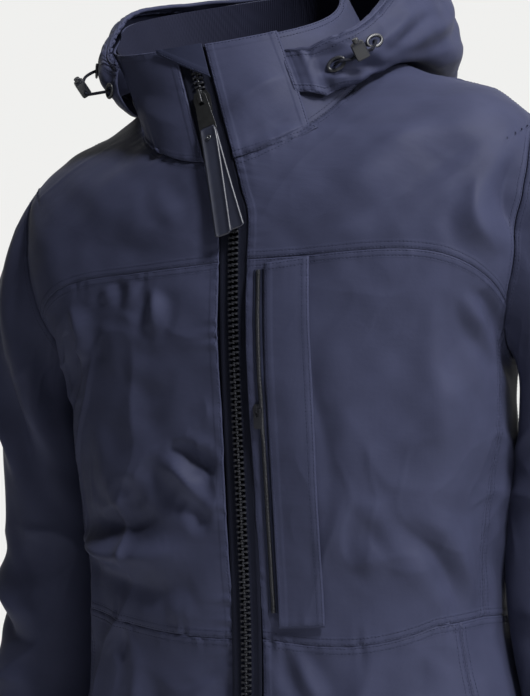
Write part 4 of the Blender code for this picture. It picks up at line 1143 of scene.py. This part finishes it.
def build_tape(side, word):
    point, across, up, out = front_line(np.linspace(0.10, 9.97, 700))
    widths = np.linspace(0.0034, ZIP_OPENING + 0.0006, 14) * side
    widths = widths if side > 0 else widths[::-1]
    grid = point[:, None] + across[:, None] * widths[None, :, None]
    cordlike = 0.0009 * np.exp(-((np.abs(widths) - 0.0046) / 0.0011) ** 2)
    welt = 0.0004 * np.exp(-((np.abs(widths) - 0.0118) / 0.0008) ** 2)
    grid = grid + out[:, None] * (cordlike + welt - 0.0006)[None, :, None]
    everything, faces = thickened(grid, grid_normals(grid), 0.0009)
    run = run_lengths(point, 0)
    uv = np.stack(np.broadcast_arrays(widths[None, :], run[:, None]), -1).reshape(-1, 2)
    mesh = mesh_of("tape", everything, faces, np.concatenate([uv, uv]))
    tape = new_object("zip_tape_" + word + "_woven", mesh, TAPE,
                      replaces=("zip_tape_" + word,))


def build_zip():
    for side, word in SIDES:
        build_teeth(side, word)
        build_tape(side, word)


def bevelled(node, name, mat, body_name, width):
    """A finished copy of a CAD node's solid: cleaned, with its edges rounded."""
    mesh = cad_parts[node].data.copy()
    built = bmesh.new()
    built.from_mesh(mesh)
    bmesh.ops.remove_doubles(built, verts=built.verts, dist=0.00002)
    bmesh.ops.dissolve_limit(built, angle_limit=math.radians(2), verts=built.verts, edges=built.edges)
    bmesh.ops.recalc_face_normals(built, faces=built.faces)
    built.to_mesh(mesh)
    built.free()
    made = new_object(name, mesh, mat, body_name, (node,), flat_shade=True)
    edge = made.modifiers.new("edge", "BEVEL")
    edge.width, edge.segments, edge.limit_method, edge.angle_limit = width, 3, "ANGLE", 0.5
    edge.use_clamp_overlap = True
    made.modifiers.new("shade", "WEIGHTED_NORMAL").keep_sharp = True
    for polygon in mesh.polygons:
        polygon.use_smooth = True


SLIDER_LEVEL = 9.50
PULL_AXIS = (0.0, -0.0072, 0.0070)
PULLER_DROP = 0.0385
STRAP_THICKNESS = 0.0014


def slider_frame():
    point, across, up, out = (v[0] for v in front_line([SLIDER_LEVEL]))
    return Matrix.Translation(point) @ Matrix((across, -out, up)).transposed().to_4x4()


def strap_mesh(length, width, bow, side_shift, place):
    """A moulded strap hanging from its place, with raised rims and a hole near its top."""
    s = np.linspace(0, 1, 60)
    outline = width / 2 * (1 - 0.10 * np.exp(-(s / 0.03) ** 2))
    outline *= 1 - 0.35 * smooth(s, 0.985, 1.0)
    across = np.array((-1, -.86, -.8, -.72, -.3, 0, .3, .72, .8, .86, 1))
    rim = np.array((0, 1, 1, 0, 0, 0, 0, 0, 1, 1, 0)) * 0.0005
    x = outline[:, None] * across[None, :]
    y = -bow * np.sin(math.pi * s * 0.9)[:, None] ** 1.2 * np.ones_like(x)
    z = -length * s[:, None] * np.ones_like(x)
    x = x + side_shift * s[:, None] ** 1.3
    grid = np.stack([x, y - rim[None, :], z], -1)
    hole = np.hypot(x / 0.0022, (z + 0.010) / 0.0026)
    grid[..., 1] += 0.0010 * (1 - smooth(hole, 0.6, 1.1))
    normals = np.broadcast_to(np.array((0.0, -1.0, 0.0)), grid.shape)
    mesh = mesh_of("strap", *thickened(grid[::-1], normals, STRAP_THICKNESS))
    mesh.transform(Matrix.Translation(place))
    return mesh


def build_slider():
    bevelled("zip_slider", "slider_casting", METAL, "main_zip_slider", 0.0006)
    bevelled("zip_pull_tab", "pull_tab_casting", METAL, "main_zip_tab", 0.0004)
    frame_at = slider_frame() @ Matrix.Translation(PULL_AXIS)
    frame_at = frame_at @ Matrix.Translation((0, 0, -PULLER_DROP))
    front = strap_mesh(0.106, 0.0162, 0.0012, -0.0100, (0, -0.0030, 0.0024))
    back = strap_mesh(0.103, 0.0160, 0.0006, 0.0030, (0, -0.0008, 0.0024))
    loop_curve = [(-0.0018 * math.cos(a) * 0.9, 0.0024 + 0.0022 * math.sin(a))
                  for a in np.linspace(0, math.pi, 12)]
    loop = np.array([[(x, y - 0.0004, z) for x in np.linspace(-0.0062, 0.0062, 8)]
                     for y, z in loop_curve])
    over = mesh_of("strap_loop", *thickened(loop, grid_normals(loop), 0.0010))
    whole = outward_mesh("puller_strap", front, back, over)
    whole.transform(frame_at)
    new_object("puller_strap", whole, RUBBER, "main_zip_puller", ("zip_puller",))
    rivet = ring_mesh(0.0016, 0.0006, 20)
    rivet.transform(frame_at @ Matrix.Translation((0, -0.0050, -0.0076))
                    @ Matrix.Rotation(math.pi / 2, 4, "X"))
    new_object("puller_rivet", rivet, METAL, "main_zip_puller")
    bevelled("zip_bottom_box", "zip_box_moulded", PLASTIC, "jacket", 0.0006)


def ring_mesh(radius, tube, segments=28, stretch=(1, 1, 1), sides=10):
    u = np.linspace(0, 2 * math.pi, segments, endpoint=False)[:, None]
    v = np.linspace(0, 2 * math.pi, sides, endpoint=False)[None, :]
    x = (radius * stretch[0] + tube * np.cos(v)) * np.cos(u)
    y = (radius * stretch[1] + tube * np.cos(v)) * np.sin(u)
    z = tube * stretch[2] * np.sin(v) * np.ones_like(u)
    i, j = np.meshgrid(np.arange(segments), np.arange(sides), indexing="ij")
    i2, j2 = (i + 1) % segments, (j + 1) % sides
    faces = np.stack([i * sides + j, i2 * sides + j, i2 * sides + j2, i * sides + j2], -1)
    return mesh_of("ring", np.stack([x, y, z], -1).reshape(-1, 3), faces.reshape(-1, 4))


# ---------------------------------------------------------------- pockets
COIL_SPACING = 0.0012


def strip(name, grid, thickness, mat, replaces=()):
    across, up = run_lengths(grid, 1), run_lengths(grid, 0)
    uv = np.stack([across, up], -1).reshape(-1, 2)
    everything, faces = thickened(grid, grid_normals(grid), thickness)
    mesh = mesh_of(name, everything, faces, np.concatenate([uv, uv]))
    declare_sheet(new_object(name, mesh, mat, replaces=replaces), grid, thickness)


def pocket_zip(name, base, lift, mat, node):
    """A pocket's zip: a woven tape lifted off the cloth, with oval coils along its middle."""
    normals = grid_normals(base)
    relief = body_relief(base.reshape(-1, 3)).reshape(base.shape[:2])
    grid = base + normals * (relief + lift)[..., None]
    strip(name.format("tape"), grid, 0.0008, mat, (node,))
    middle = (grid[:, 2] + grid[:, 3]) / 2 + normals[:, 2] * 0.0004
    run = run_lengths(middle, 0)
    count = int(run[-1] / COIL_SPACING)
    at = (np.arange(count) + 0.5) * COIL_SPACING
    point = values_at(at, run, middle)
    side = values_at(at, run, unit(grid[:, 3] - grid[:, 2]))
    normal = values_at(at, run, normals[:, 2])
    way = unit(np.cross(normal, side))
    coil = ring_mesh(0.0017, 0.00045, 10, (1, 0.75, 1), 5)
    base = np.array([v.co for v in coil.vertices])
    shape = np.array([tuple(p.vertices) for p in coil.polygons])
    points = (point[:, None] + side[:, None] * base[None, :, :1] + normal[:, None] * base[None, :, 1:2]
              + way[:, None] * base[None, :, 2:])
    faces = (np.arange(count)[:, None, None] * len(base) + shape[None]).reshape(-1, 4)
    name = name.format("coil")
    new_object(name, mesh_of(name, points.reshape(-1, 3), faces), PLASTIC)


def beside_zip(levels, distances):
    """Grid of the front's points at these levels and distances from the zip's centre line."""
    levels, distances = np.meshgrid(levels, distances, indexing="ij")
    return body(levels, zip_edge(levels, distances))


FLAP_INNER, FLAP_OUTER, FLAP_BEND = 0.0315, 0.0735, 0.0095     # beside the zip's centre line


def build_chest_pocket():
    def relief(points):
        edge = smooth(points[:, 0], 0.030, 0.036)
        return 0.65 * body_relief(points) + 0.0007 * MIDDLE(points * (2, 1, 0.4)) * edge

    sewn, free = (FLAP_OUTER, -0.13, -0.30), (FLAP_OUTER - FLAP_BEND, -0.13, -0.30)
    cloth("chest_flap_cloth", "chest_pocket_flap",
          beside_zip(np.linspace(2.08, 5.86, 200), np.linspace(FLAP_INNER, FLAP_OUTER, 40)), relief,
          (CUT, SEAM, CUT, SEAM), bodies=("jacket", "chest_flap", sewn, free), lift=0.0046,
          thickness=0.0026, pucker=(0.0002, 0.0003, 0.0003, 0.0004), seed=71)
    base = beside_zip(np.linspace(2.2, 5.75, 160), np.linspace(0.0215, 0.0300, 6))
    pocket_zip("chest_zip_{}", base, 0.0014, TRIM, "chest_pocket_zip")


def build_hand_pockets():
    for side, word in SIDES:
        def beside_line(first, last, low, high, tall, wide):
            share, extra = np.meshgrid(np.linspace(low, high, tall), np.linspace(first, last, wide),
                                       indexing="ij")
            grid = hand_zip_line(share, side, extra)
            return grid[:, ::-1] if side < 0 else grid

        cloth("hand_flap_cloth_" + word, "hand_pocket_flap_" + word,
              beside_line(0.0, 5.6, 0, 1, 70, 14), lambda points: 0.7 * body_relief(points),
              flipped((CUT, SEAM, CUT, CUT), side), lift=0.0042, thickness=0.0020, seed=73 + side)
        pocket_zip("hand_zip_{}_" + word, beside_line(-3.0, -0.8, 0.04, 0.96, 90, 6), 0.0016, TAPE,
                   "hand_pocket_zip_" + word)


def build_small_hardware():
    for kind, width in (("slider", 0.0004), ("pull", 0.0002)):
        for place in ("chest_pocket_{}", "hand_pocket_{}_right", "hand_pocket_{}_left"):
            node = place.format(kind)
            bevelled(node, node + "_casting", DARK_METAL, node.replace("pocket", "zip"),
                     width)
    for word in ("right", "left"):
        bevelled("cord_lock_" + word, "cord_lock_moulded_" + word, PLASTIC, "jacket",
                 0.0003)
        bevelled("cord_lock_button_" + word, "lock_button_moulded_" + word, PLASTIC,
                 "lock_button_" + word, 0.0003)


# ---------------------------------------------------------------- hood fastenings
EYELETS = {
    -1: {"front": (61.0, 2.05), "back": (79.0, 2.30)},
    1: {"front": (55.0, 2.00), "back": (68.0, 2.35)},
}
LOCK_WIDTH = 0.0130
CORD_DIAMETER = 0.003
CORD_REACH = {-1: 0.022, 1: 0.014}                # how far each lock stands off its eyelets' line


def surface_frame(surface, level, degrees):
    """A point of a surface, with its unit directions across, up and outwards."""
    up = unit(surface(level + 0.02, degrees) - surface(level - 0.02, degrees))
    across = surface(level, degrees + 1) - surface(level, degrees - 1)
    across = unit(across - up * (across @ up))
    return surface(level, degrees), across, up, np.cross(across, up)


def build_fastenings():
    for side, word in SIDES:
        ends = []
        for place, (angle, level) in EYELETS[side].items():
            point, across, up, out = surface_frame(lambda v, d: hood(v, side * d), level, angle)
            out = out if out[:2] @ point[:2] > 0 else -out
            tilt = unit(across + up * 0.35 * side)
            lift = float(hood_relief(point[None])[0])
            x = unit(tilt - out * (tilt @ out))
            turn = Matrix((x, np.cross(out, x), out)).transposed().to_4x4()
            where = Matrix.Translation(point + out * (lift + 0.0012)) @ turn
            ring = ring_mesh(0.0060, 0.0017, 36, (1.35, 0.86, 0.75), 12)
            ring.transform(where)
            label = place + "_" + word
            new_object("eyelet_" + label, ring, PLASTIC,
                       replaces=("hood_eyelet_" + label,))
            washer = ring_mesh(0.0036, 0.0028, 36, (1.5, 0.9, 0.12), 8)
            washer.transform(where @ Matrix.Translation((0, 0, -0.0006)))
            new_object("eyelet_mouth_" + label, washer, TRIM)
            ends.append((point, out))
        cord_between(side, word, ends)


def cord_between(side, word, ends):
    """The drawcord's loop: out of one eyelet, through the lock, back into the other."""
    (front, front_out), (back, back_out) = ends
    reach = CORD_REACH[side]
    middle = front + (back - front) * 0.62
    out = (unit(np.array((-0.80, -0.30, -0.52))) if side < 0
           else unit(unit(front_out + back_out) + np.array((0, 0, -0.55))))
    centre = middle + out * reach
    along = unit(back - front)
    along = unit(along - out * (along @ out))
    mouth, clear = LOCK_WIDTH / 2 + 0.0008, LOCK_WIDTH / 2 + 0.0045
    start, finish = front + front_out * 0.0030, back + back_out * 0.0030
    enter, leave = centre - along * clear, centre + along * clear
    route = [start, start + (enter - start) * 0.4 + front_out * 0.005, enter, centre - along * mouth,
             centre + along * mouth, leave, finish + (leave - finish) * 0.4 + back_out * 0.005, finish]
    route = [start - front_out * 0.004] + route + [finish - back_out * 0.004]
    points = rows_at(np.array(route), np.linspace(0, len(route) - 1, 8 * len(route) - 7))
    curve = bpy.data.curves.new("drawcord_" + word, "CURVE")
    curve.dimensions = "3D"
    curve.bevel_depth, curve.bevel_resolution, curve.use_fill_caps = CORD_DIAMETER / 2, 4, True
    spline = curve.splines.new("POLY")
    spline.points.add(len(points) - 1)
    for item, point in zip(spline.points, points):
        item.co = (*point, 1.0)
    curve.materials.append(CORD)
    cord = bpy.data.objects.new("drawcord_" + word, curve)
    bpy.context.scene.collection.objects.link(cord)
    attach(cord, "jacket")
    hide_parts("hood_cord_" + word)
    length = float(run_lengths(points, 0)[-1])


# ---------------------------------------------------------------- light, floor, camera
def area_light(name, place, target, size, power):
    data = bpy.data.lights.new(name, "AREA")
    data.shape, data.size, data.size_y, data.energy = "RECTANGLE", *size, power
    lamp = bpy.data.objects.new(name, data)
    bpy.context.scene.collection.objects.link(lamp)
    way = Vector(target) - Vector(place)
    lamp.matrix_world = Matrix.Translation(place) @ way.to_track_quat("-Z", "Y").to_matrix().to_4x4()


FLOOR_HEIGHT, FLOOR_HALF = -0.775, 1.6
FLOOR_COLOUR = (0.84, 0.84, 0.82)
WORLD_BRIGHT_WAY = (-0.20, 0.96, 0.20)
WORLD_DIM, WORLD_BRIGHT = 0.055, 0.87
CAMERA_PLACE = (0.8380, -2.1420, -0.3000)
CAMERA_AZIMUTH, CAMERA_PITCH, CAMERA_ROLL = 22.0, 1.718, -2.0
CAMERA_LENS = 124.1
LIGHTS = (                          # name, place, target, size, watts
    ("key", (1.80, -1.15, 2.05), (0.0, -0.1, -0.10), (0.5, 0.8), 134),
    ("top", (1.0, 0.0, 2.2), (0.0, 0.0, -0.10), (1.0, 0.8), 26),
    ("side", (2.0, -0.45, 0.45), (0.15, 0.0, 0.05), (0.4, 0.4), 20),
    ("front", (0.9, -3.0, 1.1), (0.0, 0.0, -0.20), (1.4, 1.4), 3),
)


def build_floor():
    built = bmesh.new()
    bmesh.ops.create_grid(built, x_segments=2, y_segments=2, size=FLOOR_HALF)
    mesh = bpy.data.meshes.new("floor")
    built.to_mesh(mesh)
    built.free()
    pale, tree, shader = node_material("floor_pale", FLOOR_COLOUR, 0.9)
    vary_colour(tree, shader, FLOOR_COLOUR, add_node(tree, "TexCoord").outputs["Object"], 3.0, 0.01)
    mesh.materials.append(pale)
    floor = bpy.data.objects.new("floor", mesh)
    bpy.context.scene.collection.objects.link(floor)
    floor.location = (0, 0, FLOOR_HEIGHT)


def build_world():
    """Pale behind the object as the photograph sees it, and dim on the other sides."""
    world = bpy.data.worlds.new("studio")
    bpy.context.scene.world = world
    world.use_nodes = True
    tree = world.node_tree
    facing = add_node(tree, "VectorMath", operation="DOT_PRODUCT")
    facing.inputs[1].default_value = WORLD_BRIGHT_WAY
    tree.links.new(add_node(tree, "TexCoord").outputs["Generated"], facing.inputs[0])
    ramp = add_node(tree, "MapRange", **{"From Min": 0.35, "From Max": 0.90, "To Min": WORLD_DIM,
                                         "To Max": WORLD_BRIGHT})
    ramp.interpolation_type = "SMOOTHSTEP"
    tree.links.new(facing.outputs["Value"], ramp.inputs["Value"])
    tree.links.new(ramp.outputs["Result"], tree.nodes["Background"].inputs["Strength"])
    tree.nodes["Background"].inputs["Color"].default_value = (1.0, 1.0, 0.985, 1)


def build_camera():
    data = bpy.data.cameras.new("camera")
    data.lens, data.sensor_width = CAMERA_LENS, 36.0
    camera = bpy.data.objects.new("camera", data)
    bpy.context.scene.collection.objects.link(camera)
    turn = (Matrix.Rotation(math.radians(CAMERA_AZIMUTH), 4, "Z")
            @ Matrix.Rotation(math.radians(90 + CAMERA_PITCH), 4, "X")
            @ Matrix.Rotation(math.radians(CAMERA_ROLL), 4, "Z"))
    camera.matrix_world = Matrix.Translation(CAMERA_PLACE) @ turn
    bpy.context.scene.camera = camera
    bpy.context.scene.view_settings.view_transform = "Standard"


build_camera()
build_floor()
build_world()
for light in LIGHTS:
    area_light(*light)
build_small_hardware()
build_fastenings()
build_shell()
build_lining()
build_sleeves()
build_collar()
build_hood()
build_zip()
build_slider()
build_chest_pocket()
build_hand_pockets()
for bodies in STITCHES:
    make_stitches(bodies)
for node, mat in (("wind_flap", TRIM), ("chest_pocket_bag", LINING)):
    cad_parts[node].data.materials.clear()
    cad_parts[node].data.materials.append(mat)
